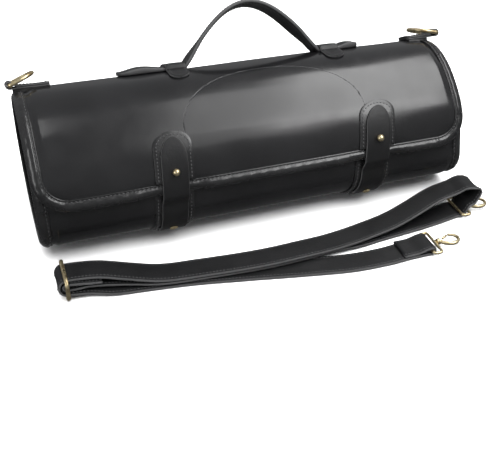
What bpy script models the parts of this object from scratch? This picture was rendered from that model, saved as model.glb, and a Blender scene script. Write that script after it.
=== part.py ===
"""A leather chef's knife roll, rolled up and strapped shut, with its shoulder strap in front.

Metres. +X runs along the roll, +Y away from its front, +Z up. The origin is on the surface
that the roll stands on, under the middle of its base.
"""

import math

import bmesh
import bpy
import numpy as np
from mathutils import Matrix, Vector

# The rolled body
roll_length = 0.46
half_depth = 0.0912
height_above_widest = 0.0993
height_below_widest = 0.0515
top_roundness = 1.84
bottom_roundness = 2.18
right_end_taper = 0.04
facets_round = 48
sole_flattening = 0.0006

# Leather
sheet_thickness = 0.0024
lining_thickness = 0.0008
pocket_thickness = 0.0015
slot_panel_thickness = 0.0016
cover_thickness = 0.0014
binding_thickness = 0.0010
binding_width = 0.0105
gap = 0.0003
slack = 0.0006

# Where things lie round the roll, measured from its top line down over the front
flap_edge = 0.131
flap_corner_radius = 0.034
tuck_start = 0.0
tuck_ramp_length = 0.044
zip_pocket_depth = 0.155
slot_panel_depth = 0.14
cover_depth = 0.215
slot_count = 10
inner_margin = 0.022

# The two closing straps
strap_width = 0.0285
strap_thickness = 0.0025
strap_tip = 0.076
strap_tip_length = 0.022
strap_end = 0.190
patch_width = 0.040
patch_thickness = 0.0015
patch_top = 0.070
patch_arch = 0.016
band_width = 0.040
band_end = 0.197
stud_place = 0.110
stud_ball_radius = 0.0037
stud_neck_radius = 0.0017
rivet_place = 0.180
rivet_radius = 0.0042
rivet_height = 0.0014

# The handle
handle_line = -0.030
handle_centre = 0.022
handle_width = 0.025
handle_thickness = 0.0038
handle_rise = 0.057
handle_roundness = 1.08
keeper_distance = 0.086
keeper_width = 0.021
keeper_reach = 0.037
keeper_thickness = 0.0024
paddle_left = 0.146
paddle_right = 0.124
paddle_bow = 0.003

# The D-rings and their tabs
ring_wire = 0.0021
ring_inner_width = 0.029
ring_depth = 0.026
tab_width = 0.026
tab_leather = 0.0019
tab_length = 0.045

# The shoulder strap and its hardware
sling_width = 0.028
sling_thickness = 0.0028
slide_inset = 0.014
slide_wire = 0.0020
slide_bar_radius = 0.0016
slide_inner_width = 0.036
clip_bar_radius = 0.0015
clip_loop_width = 0.032
clip_loop_depth = 0.0092
clip_barrel_radius = 0.0034
clip_barrel_length = 0.0050
clip_post_radius = 0.0012
hook_wire = 0.0018
hook_length = 0.022
hook_width = 0.0155

# Colours, as roughly seen on the finished leather and metal
black_leather = (0.012, 0.012, 0.013)
matte_leather = (0.016, 0.015, 0.015)
suede = (0.020, 0.019, 0.019)
brass = (0.62, 0.47, 0.24)


for old in list(bpy.data.objects):
    bpy.data.objects.remove(old)
model = bpy.data.collections.new("chef_knife_roll")
cutters = bpy.data.collections.new("cutters")
bpy.context.scene.collection.children.link(model)
bpy.context.scene.collection.children.link(cutters)
cutters.hide_render = True


def material(name, colour, roughness, metallic):
    """A Principled material of one finish."""
    made = bpy.data.materials.new(name)
    made.use_nodes = True
    shader = made.node_tree.nodes["Principled BSDF"]
    shader.inputs["Base Color"].default_value = (*colour, 1)
    shader.inputs["Roughness"].default_value = roughness
    shader.inputs["Metallic"].default_value = metallic
    return made


finishes = {
    "glazed": material("glazed_leather", black_leather, 0.32, 0),
    "trim": material("trim_leather", matte_leather, 0.45, 0),
    "strap": material("strap_leather", matte_leather, 0.50, 0),
    "suede": material("suede_lining", suede, 0.95, 0),
    "brass": material("antique_brass", brass, 0.30, 1),
}


def new_object(name, points, faces, finish):
    """A closed solid from its points and faces, with its normals turned outwards."""
    mesh = bpy.data.meshes.new(name)
    mesh.from_pydata([tuple(map(float, p)) for p in points], [], faces)
    work = bmesh.new()
    work.from_mesh(mesh)
    bmesh.ops.recalc_face_normals(work, faces=work.faces)
    work.to_mesh(mesh)
    work.free()
    mesh.materials.append(finishes[finish])
    made = bpy.data.objects.new(name, mesh)
    model.objects.link(made)
    return made


def loft(name, rings, finish, closed=False):
    """A solid through rings of equal point count; unless closed on itself, its ends are capped."""
    rings = np.asarray(rings)
    count, around = rings.shape[:2]
    faces = []
    for i in range(count if closed else count - 1):
        j = (i + 1) % count
        for k in range(around):
            m = (k + 1) % around
            faces.append((i * around + k, i * around + m, j * around + m, j * around + k))
    if not closed:
        faces.append(tuple(range(around)))
        faces.append(tuple((count - 1) * around + k for k in range(around)))
    return new_object(name, rings.reshape(-1, 3), faces, finish)


# The rolled section: a superellipse whose upper and lower halves differ, as a polygon

def section_curve(count):
    """Points (y, z) of the section from its top line, down the front and round the back."""
    turn = np.linspace(math.pi / 2, math.pi / 2 + 2 * math.pi, count)
    c, s = np.cos(turn), np.sin(turn)
    power = np.where(s >= 0, top_roundness, bottom_roundness)
    height = np.where(s >= 0, height_above_widest, height_below_widest)
    y = half_depth * np.sign(c) * np.abs(c) ** (2 / power)
    z = height * np.sign(s) * np.abs(s) ** (2 / power) + height_below_widest
    return np.stack([y, z], 1)


def polygon_of(curve, count):
    """The curve as a polygon with equal steps of its own length, and its outward normals."""
    steps = np.hypot(*np.diff(curve, axis=0).T)
    run = np.concatenate([[0], np.cumsum(steps)])
    places = np.linspace(0, run[-1], count + 1)
    corners = np.stack([np.interp(places, run, curve[:, 0]), np.interp(places, run, curve[:, 1])], 1)
    corners = corners[:-1]
    along = np.roll(corners, -1, 0) - np.roll(corners, 1, 0)
    normal = np.stack([along[:, 1], -along[:, 0]], 1)
    normal /= np.hypot(*normal.T)[:, None]
    return corners, normal, run[-1]


corners, corner_normals, girth = polygon_of(section_curve(4001), facets_round)
facet = girth / facets_round


def surface(x, s, h):
    """The point at x along the roll and s round it, raised by h off the rolled surface."""
    place = np.asarray(s, float) / facet
    low = np.floor(place).astype(int)
    part = (place - low)[..., None]
    taper = 1 - right_end_taper * (np.asarray(x, float) / roll_length + 0.5)
    x, h, taper = np.broadcast_arrays(x, h, taper)[:3]
    ends = []
    for index in (low % facets_round, (low + 1) % facets_round):
        ends.append(corners[index] * taper[..., None] + corner_normals[index] * h[..., None])
    yz = ends[0] * (1 - part) + ends[1] * part
    yz[..., 1] = np.maximum(yz[..., 1] - sole_flattening, 0)
    return np.concatenate([np.broadcast_to(x, yz.shape[:-1])[..., None], yz], -1)


def frame_at(x, s):
    """A point of the surface, with its along, round and outward directions."""
    point = surface(x, s, 0.0)
    round_way = surface(x, s + facet / 8, 0.0) - surface(x, s - facet / 8, 0.0)
    round_way /= np.linalg.norm(round_way)
    along = np.array([1.0, 0.0, 0.0])
    return point, along, round_way, np.cross(round_way, along)


def smooth(low, high, value):
    """0 below low, 1 above high, with an eased step between."""
    t = np.clip((np.asarray(value, float) - low) / (high - low), 0, 1)
    return t * t * (3 - 2 * t)


# The outer sheet starts tucked under the flap, goes once round and ends as the flap

recess = binding_thickness + gap
tuck_depth = recess + sheet_thickness + 2 * gap + binding_thickness + slack * 1.5
end_length = roll_length / 2
flap_end = girth + flap_edge
ramp_start = flap_edge + 2 * gap + binding_thickness + slack
ramp_end = ramp_start + tuck_ramp_length
ramp_x = end_length - binding_width - recess


def sheet_level(s):
    """How far the sheet's outer face lies below the rolled surface, round the roll."""
    return -tuck_depth * (1 - smooth(ramp_start, ramp_end, s))


def end_recess(x, s):
    """The sheet dips at both ends, so that the binding lies flush, except near the flap's edge."""
    fade = 1 - smooth(flap_end - 2.2 * flap_corner_radius, flap_end - 1.1 * flap_corner_radius, s)
    return -recess * smooth(ramp_x - binding_width / 2, ramp_x, np.abs(x)) * fade


def stations(low, high, *extra):
    """The section's own corners between two places, with the places themselves."""
    first, last = math.floor(low / facet) + 1, math.ceil(high / facet) - 1
    inner = [i * facet for i in range(first, last + 1)]
    places = np.array(sorted([low, high, *inner, *extra]))
    keep = np.concatenate([[True], np.diff(places) > facet / 60])
    keep[-1] = True
    if places[-1] - places[-2] <= facet / 60:
        keep[-2] = False
    return places[keep]


corner_turns = np.radians([0, 18, 36, 54, 72, 90])
corner_places = flap_end - flap_corner_radius * (1 - np.sin(corner_turns))


def corner_inset(s):
    """How far the flap's rounded corner draws its side in."""
    return np.interp(s, corner_places, flap_corner_radius * (1 - np.cos(corner_turns)), left=0)


def slab(name, rows, columns, low, high, finish):
    """A thin solid on the roll: rows round it, columns of x for each row, between two heights."""
    s = np.broadcast_to(np.asarray(rows)[:, None], columns.shape)
    under = surface(columns, s, low)
    over = surface(columns, s, high)
    return loft(name, np.concatenate([under, over[:, ::-1]], 1), finish)


def sheet_piece():
    rows = stations(tuck_start, flap_end, *corner_places[:-1])
    side = end_length - corner_inset(rows)
    marks = np.array([0, end_length - ramp_x, end_length - ramp_x + binding_width / 2])
    left = -side[:, None] + marks[None, :]
    columns = np.concatenate([left, -left[:, ::-1]], 1)
    level = sheet_level(rows)[:, None] + end_recess(columns, rows[:, None])
    slab("outer_sheet", rows, columns, level - sheet_thickness, level, "glazed")


sheet_piece()


def inner_panel(name, first, last, left, right, depth, thickness, finish, extra=(), ribs=None):
    """A panel on the inside of the sheet, at a depth below the sheet's outer face."""
    rows = stations(first, last, *extra)
    columns = np.broadcast_to(np.array([left, right])[None, :], (len(rows), 2))
    top = np.broadcast_to((sheet_level(rows) - depth)[:, None], columns.shape)
    thick = thickness if ribs is None else thickness * ribs(rows)[:, None]
    slab(name, rows, columns, top - thick, top, finish)


lining_side = ramp_x - binding_width / 2 - gap
lining_first = tuck_start + binding_width + slack
corner_room = flap_corner_radius - binding_width - slack
corner_side = lining_side - (end_length - flap_corner_radius)
pocket_last = flap_end - flap_corner_radius + math.sqrt(corner_room ** 2 - corner_side ** 2)
pocket_first = pocket_last - zip_pocket_depth
lining_depth = sheet_thickness + gap
panel_depth = lining_depth + lining_thickness + gap
inner_panel("lining", lining_first, pocket_first - slack, -lining_side, lining_side,
            lining_depth, lining_thickness, "suede")
inner_panel("zip_pocket", pocket_first, pocket_last, -lining_side, lining_side,
            lining_depth, pocket_thickness, "glazed")

slots_first = lining_first + inner_margin
slots_last = pocket_first - inner_margin
slot_pitch = (slots_last - slots_first) / slot_count
seams = [slots_first + slot_pitch * i for i in range(1, slot_count)]


def slot_swell(s):
    """Each knife slot swells a little between its two seams."""
    return 0.5 + 0.5 * np.abs(np.sin(math.pi * (s - slots_first) / slot_pitch))


inner_panel("knife_slots", slots_first, slots_last, -lining_side, -lining_side + slot_panel_depth,
            panel_depth, slot_panel_thickness, "suede", seams, slot_swell)
inner_panel("cover_flap", slots_first, slots_last, lining_side - cover_depth, lining_side,
            panel_depth, cover_thickness, "suede")


# The binding is a folded strip that grips the sheet's edge, round the ends and the flap

def binding_path():
    """Places (x, s) along the sheet's edge, with the inward direction at each."""
    straight = stations(tuck_start, flap_end - flap_corner_radius)
    path = [(-end_length, s, 1.0, 0.0) for s in straight]
    for angle, s in zip(corner_turns[1:], corner_places[1:]):
        x = end_length - flap_corner_radius * (1 - math.cos(angle))
        path.append((-x, s, math.cos(angle), -math.sin(angle)))
    mirrored = [(-x, s, -inward, back) for x, s, inward, back in reversed(path)]
    return path + mirrored


def binding_piece():
    profile = [
        (binding_width, gap), (binding_width, recess), (gap, recess), (-recess, recess * 0.3),
        (-recess, -sheet_thickness - recess * 0.3), (gap, -sheet_thickness - recess),
        (binding_width, -sheet_thickness - recess), (binding_width, -sheet_thickness - gap),
        (-gap, -sheet_thickness - gap), (-gap, gap),
    ]
    rings = []
    for x, s, inward, back in binding_path():
        at = np.array([(x + inward * d, s + back * d) for d, h in profile])
        inside = np.clip(at[:, 0], -end_length, end_length)
        level = sheet_level(at[:, 1]) + end_recess(inside, at[:, 1])
        if abs(inward) < 0.5:
            level = level.mean() + 0 * level
        rings.append(surface(at[:, 0], at[:, 1], level + np.array([h for d, h in profile])))
    loft("edge_binding", rings, "trim")


binding_piece()


# The closing straps, with the patch that each lies on and the band that it is sewn to

strap_seat = 2 * gap + patch_thickness
closing_straps = {
    "left": {"along": -0.2033, "lean": -0.07},
    "right": {"along": 0.2728, "lean": -0.12},
}


def strap_line(side, s):
    """The strap's middle leans a little from straight down."""
    row = closing_straps[side]
    return row["along"] * roll_length + row["lean"] * (np.asarray(s) - stud_place)


def body_level(s):
    """The body's own face below the flap's edge, with the flap's level above it."""
    down = smooth(ramp_start, ramp_start + strap_width / 2, s)
    return sheet_level(np.asarray(s)) * down


def tapered_strip(name, side, rows, half_width, low, high, finish):
    """A strip down the roll's front, three points wide, with its own half width at each row."""
    middle = strap_line(side, rows)[:, None]
    columns = middle + half_width[:, None] * np.array([-1, 0, 1])[None, :]
    low, high = (np.broadcast_to(level[:, None], columns.shape) for level in (low, high))
    return slab(name, rows, columns, low, high, finish)


def arched_half_width(rows, width, top, length, sharpness):
    """Half of the width, drawn in to a rounded point at the top."""
    into = np.clip(1 - (rows - top) / length, 0, 0.995)
    return width / 2 * (1 - into ** sharpness) ** (1 / sharpness)


def drill(piece, centre, direction, radius, length):
    """Cuts a round hole through a piece."""
    bpy.ops.mesh.primitive_cylinder_add(vertices=12, radius=radius, depth=length)
    cutter = bpy.context.object
    for home in list(cutter.users_collection):
        home.objects.unlink(cutter)
    cutters.objects.link(cutter)
    cutter.name = piece.name + "_hole"
    turn = Vector((0, 0, 1)).rotation_difference(Vector(direction)).to_matrix().to_4x4()
    cutter.matrix_world = Matrix.Translation(Vector(centre)) @ turn
    cutter.hide_render = True
    cutter.display_type = "WIRE"
    cut = piece.modifiers.new("hole", "BOOLEAN")
    cut.operation = "DIFFERENCE"
    cut.object = cutter


def turned(name, profile, centre, direction, finish, sides=12):
    """A turned piece: rows of (radius, height) stand up from a centre along a direction."""
    turn = Vector((0, 0, 1)).rotation_difference(Vector(direction)).to_matrix()
    rings = []
    for radius, height in profile:
        ring = []
        for k in range(sides):
            a = 2 * math.pi * k / sides
            spot = Vector((radius * math.cos(a), radius * math.sin(a), height))
            ring.append(Vector(centre) + turn @ spot)
        rings.append([tuple(p) for p in ring])
    return loft(name, rings, finish)


def closing_strap(side):
    arch_rows = [patch_top + patch_arch * k for k in (0.12, 0.4)]
    rows = stations(patch_top, flap_edge - binding_width - gap, *arch_rows)
    half = arched_half_width(rows, patch_width, patch_top, patch_arch, 2.2)
    flat = 0 * rows
    tapered_strip("strap_patch_" + side, side, rows, half, flat + gap, flat + gap + patch_thickness, "trim")

    rows = stations(ramp_start, band_end)
    half = band_width / 2 + 0 * rows
    level = sheet_level(rows) + gap
    tapered_strip("strap_band_" + side, side, rows, half, level, level + patch_thickness, "trim")

    tip_rows = [strap_tip + strap_tip_length * k for k in (0.1, 0.3, 0.6)]
    rows = stations(strap_tip, strap_end, ramp_start, ramp_start + strap_width / 4, *tip_rows)
    half = arched_half_width(rows, strap_width, strap_tip, strap_tip_length, 1.7)
    level = body_level(rows) + strap_seat
    strip = tapered_strip("closing_strap_" + side, side, rows, half,
                          level, level + strap_thickness, "strap")

    point, along, round_way, out = frame_at(float(strap_line(side, stud_place)), stud_place)
    drill(strip, point + out * strap_seat, out, stud_neck_radius + gap, strap_thickness * 4)
    neck_top = strap_seat + strap_thickness + gap
    r, ball = stud_neck_radius, stud_ball_radius
    profile = [(r, strap_seat), (r, neck_top)]
    for a in np.radians([-62, -30, 0, 30, 60, 82]):
        profile.append((ball * math.cos(a), neck_top + ball * (0.9 + math.sin(a))))
    turned("stud_" + side, profile, point, out, "brass")

    point, along, round_way, out = frame_at(float(strap_line(side, rivet_place)), rivet_place)
    seat = float(sheet_level(rivet_place)) + strap_seat + strap_thickness + 2 * gap
    profile = [(rivet_radius, seat), (rivet_radius, seat + rivet_height / 2),
               (rivet_radius * 0.8, seat + rivet_height * 0.85), (rivet_radius * 0.4, seat + rivet_height)]
    turned("rivet_" + side, profile, point, out, "brass")


for side in closing_straps:
    closing_strap(side)


# The handle arches between its two keepers, and its flat ends run on past them

def across(x, v, h, s0, flatness):
    """A point v to the side of the line s0, on the roll where flatness is 0 and level where it is 1."""
    point, along, round_way, out = frame_at(0.0, s0)
    origin = surface(x, s0 + 0 * np.asarray(x), 0.0)
    level = origin + round_way * np.asarray(v)[..., None] + out * np.asarray(h)[..., None]
    lying = surface(x, s0 + np.asarray(v), h)
    weight = np.asarray(flatness, float)[..., None]
    return lying * (1 - weight) + level * weight


handle_half_span = keeper_distance - keeper_width / 2 - 4 * gap
keeper_outer = keeper_distance + keeper_width / 2 + gap


def handle_height(x):
    """The height of the handle's underside: an arch between its keepers, a low bow past them."""
    u = np.abs(x - handle_centre)
    rise = handle_rise * np.cos(np.clip(u / handle_half_span, 0, 1) * math.pi / 2) ** handle_roundness
    end = np.where(x < handle_centre, paddle_left, paddle_right)
    past = np.clip((u - keeper_outer) / (end - keeper_outer), 0, 1)
    return gap + rise + paddle_bow * np.sin(math.pi * past) ** 2


def handle_piece():
    left = handle_centre - paddle_left
    right = handle_centre + paddle_right
    tip = handle_width / 2
    outer = [left, left + tip * 0.12, left + tip * 0.5, left + tip]
    outer += list(np.linspace(left + tip, handle_centre - keeper_outer, 5)[1:])
    arch = handle_centre + handle_half_span * np.sin(np.radians(np.linspace(-90, 90, 27)))
    ends = list(np.linspace(handle_centre + keeper_outer, right - tip, 4))
    xs = np.array(outer + list(arch) + ends + [right - tip * 0.5, right - tip * 0.12, right])
    into = np.clip(1 - np.minimum(xs - left, right - xs) / tip, 0, 0.98)
    half = handle_width / 2 * np.sqrt(1 - into ** 2)
    low = handle_height(xs)
    slope = np.gradient(low, xs)
    lean = np.stack([-slope, np.ones_like(slope)], 1) / np.sqrt(1 + slope ** 2)[:, None]
    flatness = smooth(handle_thickness * 0.53, handle_thickness * 2.63, low)
    sides = (stations(handle_line - tip, handle_line + tip) - handle_line) / tip
    v = half[:, None] * sides
    under = across(xs[:, None] + 0 * v, v, low[:, None] + 0 * v, handle_line, flatness[:, None] + 0 * v)
    top_x = xs + lean[:, 0] * handle_thickness
    top_h = low + lean[:, 1] * handle_thickness
    over = across(top_x[:, None] + 0 * v, v, top_h[:, None] + 0 * v, handle_line, flatness[:, None] + 0 * v)
    loft("handle", np.concatenate([under, over[:, ::-1]], 1), "strap")


handle_piece()


def keeper_piece(name, x):
    """A band over the handle, flat on the roll before and behind it, with rounded ends."""
    over_strap = handle_width / 2 + 2 * gap
    foot = over_strap + keeper_thickness * 1.4
    reach = keeper_reach
    nose = keeper_width / 2
    marks = [-reach, -reach + nose * 0.15, -reach + nose * 0.5, -reach + nose, -foot, -over_strap]
    v = np.array(marks + [0.0] + [-m for m in reversed(marks)])
    rows = stations(handle_line - reach, handle_line + reach, *(handle_line + v))
    off = np.abs(rows - handle_line)
    into = np.clip(1 - (reach - off) / nose, 0, 0.98)
    half = keeper_width / 2 * np.sqrt(1 - into ** 2)
    lifted = handle_thickness + 2 * gap
    level = gap + lifted * (1 - smooth(over_strap, foot, off))
    columns = x + half[:, None] * np.array([-1.0, 0.0, 1.0])
    low = np.broadcast_to(level[:, None], columns.shape)
    slab(name, rows, columns, low, low + keeper_thickness, "trim")


keeper_piece("handle_keeper_left", handle_centre - keeper_distance)
keeper_piece("handle_keeper_right", handle_centre + keeper_distance)


# A D-ring at each end hangs in a folded leather tab

def tube(name, path, radius, finish, sides=8, closed=False, ends_shrink=1.0):
    """A round wire along a path, kept in line with the direction that the path turns about."""
    path = np.asarray(path, float)
    count = len(path)
    if closed:
        ahead = np.roll(path, -1, 0) - np.roll(path, 1, 0)
    else:
        ahead = np.gradient(path, axis=0)
    ahead /= np.linalg.norm(ahead, axis=1)[:, None]
    spread = path - path.mean(0)
    normal = np.linalg.svd(spread)[2][2]
    rings = []
    for i in range(count):
        side = np.cross(ahead[i], normal)
        side /= np.linalg.norm(side)
        up = np.cross(side, ahead[i])
        wide = radius * (ends_shrink if not closed and i in (0, count - 1) else 1)
        angle = 2 * math.pi * (np.arange(sides) + 0.5) / sides
        rings.append(path[i] + wide * (np.cos(angle)[:, None] * side + np.sin(angle)[:, None] * up))
    return loft(name, rings, finish, closed)


ring_line = -0.031
tab_bottom = 2 * gap
ring_bar_height = tab_bottom + tab_leather + gap + ring_wire
ring_tabs = {
    "left": {"outward": -1, "past_end": 0.0333, "raised": 21},
    "right": {"outward": 1, "past_end": 0.2111, "raised": 14},
}


def tab_and_ring(side):
    outward = ring_tabs[side]["outward"]
    bar_x = end_length + ring_tabs[side]["past_end"] * tab_length
    fold = ring_wire + gap
    inner_end = bar_x - tab_length
    flat_end = inner_end + tab_length * 0.178
    close = bar_x - fold * 3.2
    # The tab's outline seen from the front, from its inner end round the fold and back
    lower = [(inner_end, 0.0), (flat_end, 0.0), (close, 0.0), (bar_x, 0.0)]
    outer_fold = [(bar_x + (fold + tab_leather) * math.sin(a), ring_bar_height - tab_bottom
                   - (fold + tab_leather) * math.cos(a)) for a in np.radians([30, 60, 90, 120, 150, 180])]
    thick = 2 * tab_leather
    upper = [(bar_x - fold * 1.4, thick + fold * 1.4), (close, thick),
             (flat_end, thick), (inner_end, thick)]
    outline = lower + outer_fold + upper
    hole = [(bar_x - fold * 2.4, tab_leather + gap), (bar_x, tab_leather)]
    hole += [(bar_x + fold * math.sin(a), ring_bar_height - tab_bottom - fold * math.cos(a))
             for a in np.radians([36, 72, 108, 144, 180])]
    hole += [(bar_x - fold * 1.2, ring_bar_height - tab_bottom + fold * 0.62)]
    v = stations(ring_line - tab_width / 2, ring_line + tab_width / 2) - ring_line

    def place(spots, side_place):
        spots = np.array(spots)
        flat = smooth(flat_end + tab_leather, close, spots[:, 0])
        x = outward * spots[:, 0]
        return across(x, side_place + 0 * x, spots[:, 1] + tab_bottom, ring_line, flat)

    piece = loft("ring_tab_" + side, [place(outline, w) for w in v], "strap")
    point, along, round_way, out = frame_at(0.0, ring_line)
    long_v = v * 1.5
    cutter = loft("ring_tab_eye_" + side, [place(hole, w) for w in long_v], "strap")
    model.objects.unlink(cutter)
    cutters.objects.link(cutter)
    cutter.hide_render = True
    cutter.display_type = "WIRE"
    cut = piece.modifiers.new("eye", "BOOLEAN")
    cut.operation = "DIFFERENCE"
    cut.object = cutter

    # The ring: a straight bar in the fold, two short arms and a half round
    tilt = math.radians(ring_tabs[side]["raised"])
    centre = surface(outward * bar_x, ring_line, 0.0) + out * ring_bar_height
    inboard = -outward * along * math.cos(tilt) + out * math.sin(tilt)
    half = ring_inner_width / 2 + ring_wire
    deep = ring_depth
    arm = deep - half * 0.92
    flat_path = [(-half * 0.86, 0.0), (0.0, 0.0), (half * 0.86, 0.0)]
    flat_path += [(half * 0.98, ring_wire * 0.8), (half, arm * 0.6), (half, arm)]
    for a in np.radians([20, 40, 60, 80, 100, 120, 140, 160]):
        flat_path.append((half * math.cos(a), arm + (deep - arm) * math.sin(a)))
    flat_path += [(-half, arm), (-half, arm * 0.6), (-half * 0.98, ring_wire * 0.8)]
    path = [centre + round_way * a + inboard * b for a, b in flat_path]
    tube("d_ring_" + side, path, ring_wire, "brass", closed=True)


for side in ring_tabs:
    tab_and_ring(side)


# The shoulder strap lies in front of the roll in three strands, one over another

layer = sling_thickness + gap
slide_low = 2 * slide_wire + 2 * gap + sling_thickness / 2
wrap_radius = slide_bar_radius + gap + sling_thickness / 2
loop_radius = wrap_radius + layer + gap * 1.5
slide_bar_height = slide_low + loop_radius
slide_high = slide_bar_height + loop_radius
clip_level = clip_bar_radius + gap + sling_thickness + gap
clip_wrap = clip_bar_radius + gap + sling_thickness / 2
front = half_depth

# A strand's rows: along is a share of the roll's half length, out is in strap widths before
# the roll's front, and up is in strap layers above the floor.
strand_out = [
    {"along": -0.86, "out": 1.12, "up": 2.45},
    {"along": -0.78, "out": 1.18, "up": 1.95},
    {"along": -0.68, "out": 1.34, "up": 1.50},
    {"along": -0.55, "out": 1.62, "up": 1.20},
    {"along": -0.36, "out": 1.78, "up": 1.08},
    {"along": -0.10, "out": 1.90, "up": 1.06},
    {"along": 0.08, "out": 1.85, "up": 1.05},
    {"along": 0.24, "out": 1.76, "up": 1.02},
    {"along": 0.35, "out": 1.67, "up": 0.30},
    {"along": 0.46, "out": 1.54, "up": 0.05},
    {"along": 0.68, "out": 1.34, "up": 0.05},
    {"along": 0.82, "out": 1.15, "up": 0.05},
]
strand_back = [
    {"along": 0.90, "out": 0.66, "up": 7.10},
    {"along": 0.80, "out": 0.74, "up": 5.90},
    {"along": 0.66, "out": 1.06, "up": 4.00},
    {"along": 0.55, "out": 1.30, "up": 2.70},
    {"along": 0.42, "out": 1.52, "up": 2.15},
    {"along": 0.24, "out": 1.80, "up": 2.12},
    {"along": 0.08, "out": 1.88, "up": 2.12},
    {"along": -0.10, "out": 1.92, "up": 2.12},
    {"along": -0.36, "out": 1.78, "up": 2.14},
    {"along": -0.55, "out": 1.62, "up": 2.35},
    {"along": -0.68, "out": 1.32, "up": 3.40},
    {"along": -0.80, "out": 1.08, "up": 4.70},
]
strand_end = [
    {"along": -0.84, "out": 1.30, "up": 0.75},
    {"along": -0.74, "out": 1.52, "up": 0.18},
    {"along": -0.62, "out": 1.62, "up": 0.02},
    {"along": -0.42, "out": 1.82, "up": 0.0},
    {"along": -0.18, "out": 2.20, "up": 0.0},
    {"along": 0.08, "out": 2.64, "up": 0.0},
    {"along": 0.26, "out": 2.90, "up": 0.0},
    {"along": 0.42, "out": 2.95, "up": 0.0},
    {"along": 0.52, "out": 2.90, "up": 0.10},
]


def strand(rows):
    return [(row["along"] * end_length, -front - row["out"] * sling_width,
             sling_thickness / 2 + row["up"] * layer + gap * 0.7) for row in rows]


def turn_round(centre, radius, first, last, count, y_first, y_last):
    """Points on an arc in the plane of X and Z, whose y runs from one value to another."""
    angles = np.radians(np.linspace(first, last, count))
    ys = np.linspace(y_first, y_last, count)
    return [(centre[0] + radius * math.cos(a), y, centre[1] + radius * math.sin(a))
            for a, y in zip(angles, ys)]


slide_place = slide_inset - end_length
slide_y = -front - 1.16 * sling_width
clip_a = {"x": 0.900 * end_length, "y": -front - 1.06 * sling_width}
clip_b = {"x": 0.630 * end_length, "y": -front - 2.88 * sling_width}
sewn_length = sling_width


def sling_path():
    """The strap's middle line, from its sewn end at the slide to its sewn end at the second clip."""
    bar = (slide_place, slide_bar_height)
    tail = [(slide_place + sewn_length * k, slide_y, slide_bar_height + layer * up)
            for k, up in ((1.2, -0.36), (0.8, 0.06), (0.45, 0.58))]
    points = tail + turn_round(bar, wrap_radius, 70, 290, 9, slide_y, slide_y)
    points += [(slide_place + sewn_length * 0.45, slide_y, slide_bar_height - wrap_radius * 0.97)]
    points += strand(strand_out)
    # Under the clip's first bar, up through its loop, over its second bar, and round
    low_z = clip_level - clip_bar_radius - gap - sling_thickness / 2
    over_z = clip_level + clip_barrel_radius + 2 * gap + sling_thickness / 2
    deep = clip_loop_depth
    points += [(clip_a["x"] + deep * a, clip_a["y"] + deep * b, z) for a, b, z in (
        (-0.65, 0.0, low_z + gap), (0.13, 0.0, low_z + gap * 0.4), (0.56, 0.05, clip_level),
        (1.0, 0.2, over_z - 2 * gap), (1.65, 0.3, over_z + layer * 0.35),
        (2.3, 0.5, over_z + layer * 2.0), (2.7, 0.75, over_z + layer * 3.7),
        (2.2, 0.95, over_z + layer * 5.2), (1.2, 1.2, over_z + layer * 5.5))]
    points += strand(strand_back)
    upper = (slide_place, slide_bar_height)
    points += turn_round(upper, loop_radius, 90, 270, 11, slide_y + layer * 0.65, slide_y - layer * 0.65)
    points += strand(strand_end)
    bar = (clip_b["x"], clip_level)
    points += turn_round(bar, clip_wrap, -90, 90, 7, clip_b["y"], clip_b["y"])
    points += [(clip_b["x"] - sewn_length * k, clip_b["y"], z) for k, z in (
        (0.25, clip_level + clip_wrap * 0.8), (0.55, sling_thickness / 2 + layer * 1.15),
        (1.1, sling_thickness / 2 + layer * 1.08))]
    return np.array(points)


def through(points, spacing):
    """A smooth curve through the points, sampled closely where it bends."""
    points = np.asarray(points)
    steps = np.sqrt(np.linalg.norm(np.diff(points, axis=0), axis=1))
    knots = np.concatenate([[0], np.cumsum(steps)])
    found = []
    for i in range(len(points) - 1):
        p0 = points[max(i - 1, 0)]
        p1, p2 = points[i], points[i + 1]
        p3 = points[min(i + 2, len(points) - 1)]
        t0, t1, t2, t3 = (knots[max(i - 1, 0)] - (i == 0), knots[i], knots[i + 1],
                          knots[min(i + 2, len(points) - 1)] + (i == len(points) - 2))
        m1 = ((p1 - p0) / (t1 - t0) - (p2 - p0) / (t2 - t0) + (p2 - p1) / (t2 - t1)) * (t2 - t1)
        m2 = ((p2 - p1) / (t2 - t1) - (p3 - p1) / (t3 - t1) + (p3 - p2) / (t3 - t2)) * (t2 - t1)
        count = max(1, round(np.linalg.norm(p2 - p1) / spacing))
        for k in range(count):
            u = k / count
            found.append(p1 * (2 * u ** 3 - 3 * u ** 2 + 1) + m1 * (u ** 3 - 2 * u ** 2 + u)
                         + p2 * (3 * u ** 2 - 2 * u ** 3) + m2 * (u ** 3 - u ** 2))
    found.append(points[-1])
    return np.array(found)


def sling_piece():
    path = through(sling_path(), sling_width / 2)
    ahead = np.gradient(path, axis=0)
    ahead /= np.linalg.norm(ahead, axis=1)[:, None]
    side = np.array([0.0, -1.0, 0.0]) - ahead * (-ahead[:, 1])[:, None]
    side /= np.linalg.norm(side, axis=1)[:, None]
    up = np.cross(side, ahead)
    rings = []
    for p, a, b in zip(path, side, up):
        w, t = a * sling_width / 2, b * sling_thickness / 2
        rings.append([p - w - t, p + w - t, p + w + t, p - w + t])
    loft("shoulder_strap", rings, "strap")
    lengths = np.linalg.norm(np.diff(path, axis=0), axis=1)
    print(f"shoulder strap: {lengths.sum():.3f} m along its middle, {len(path)} stations")


sling_piece()


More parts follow.
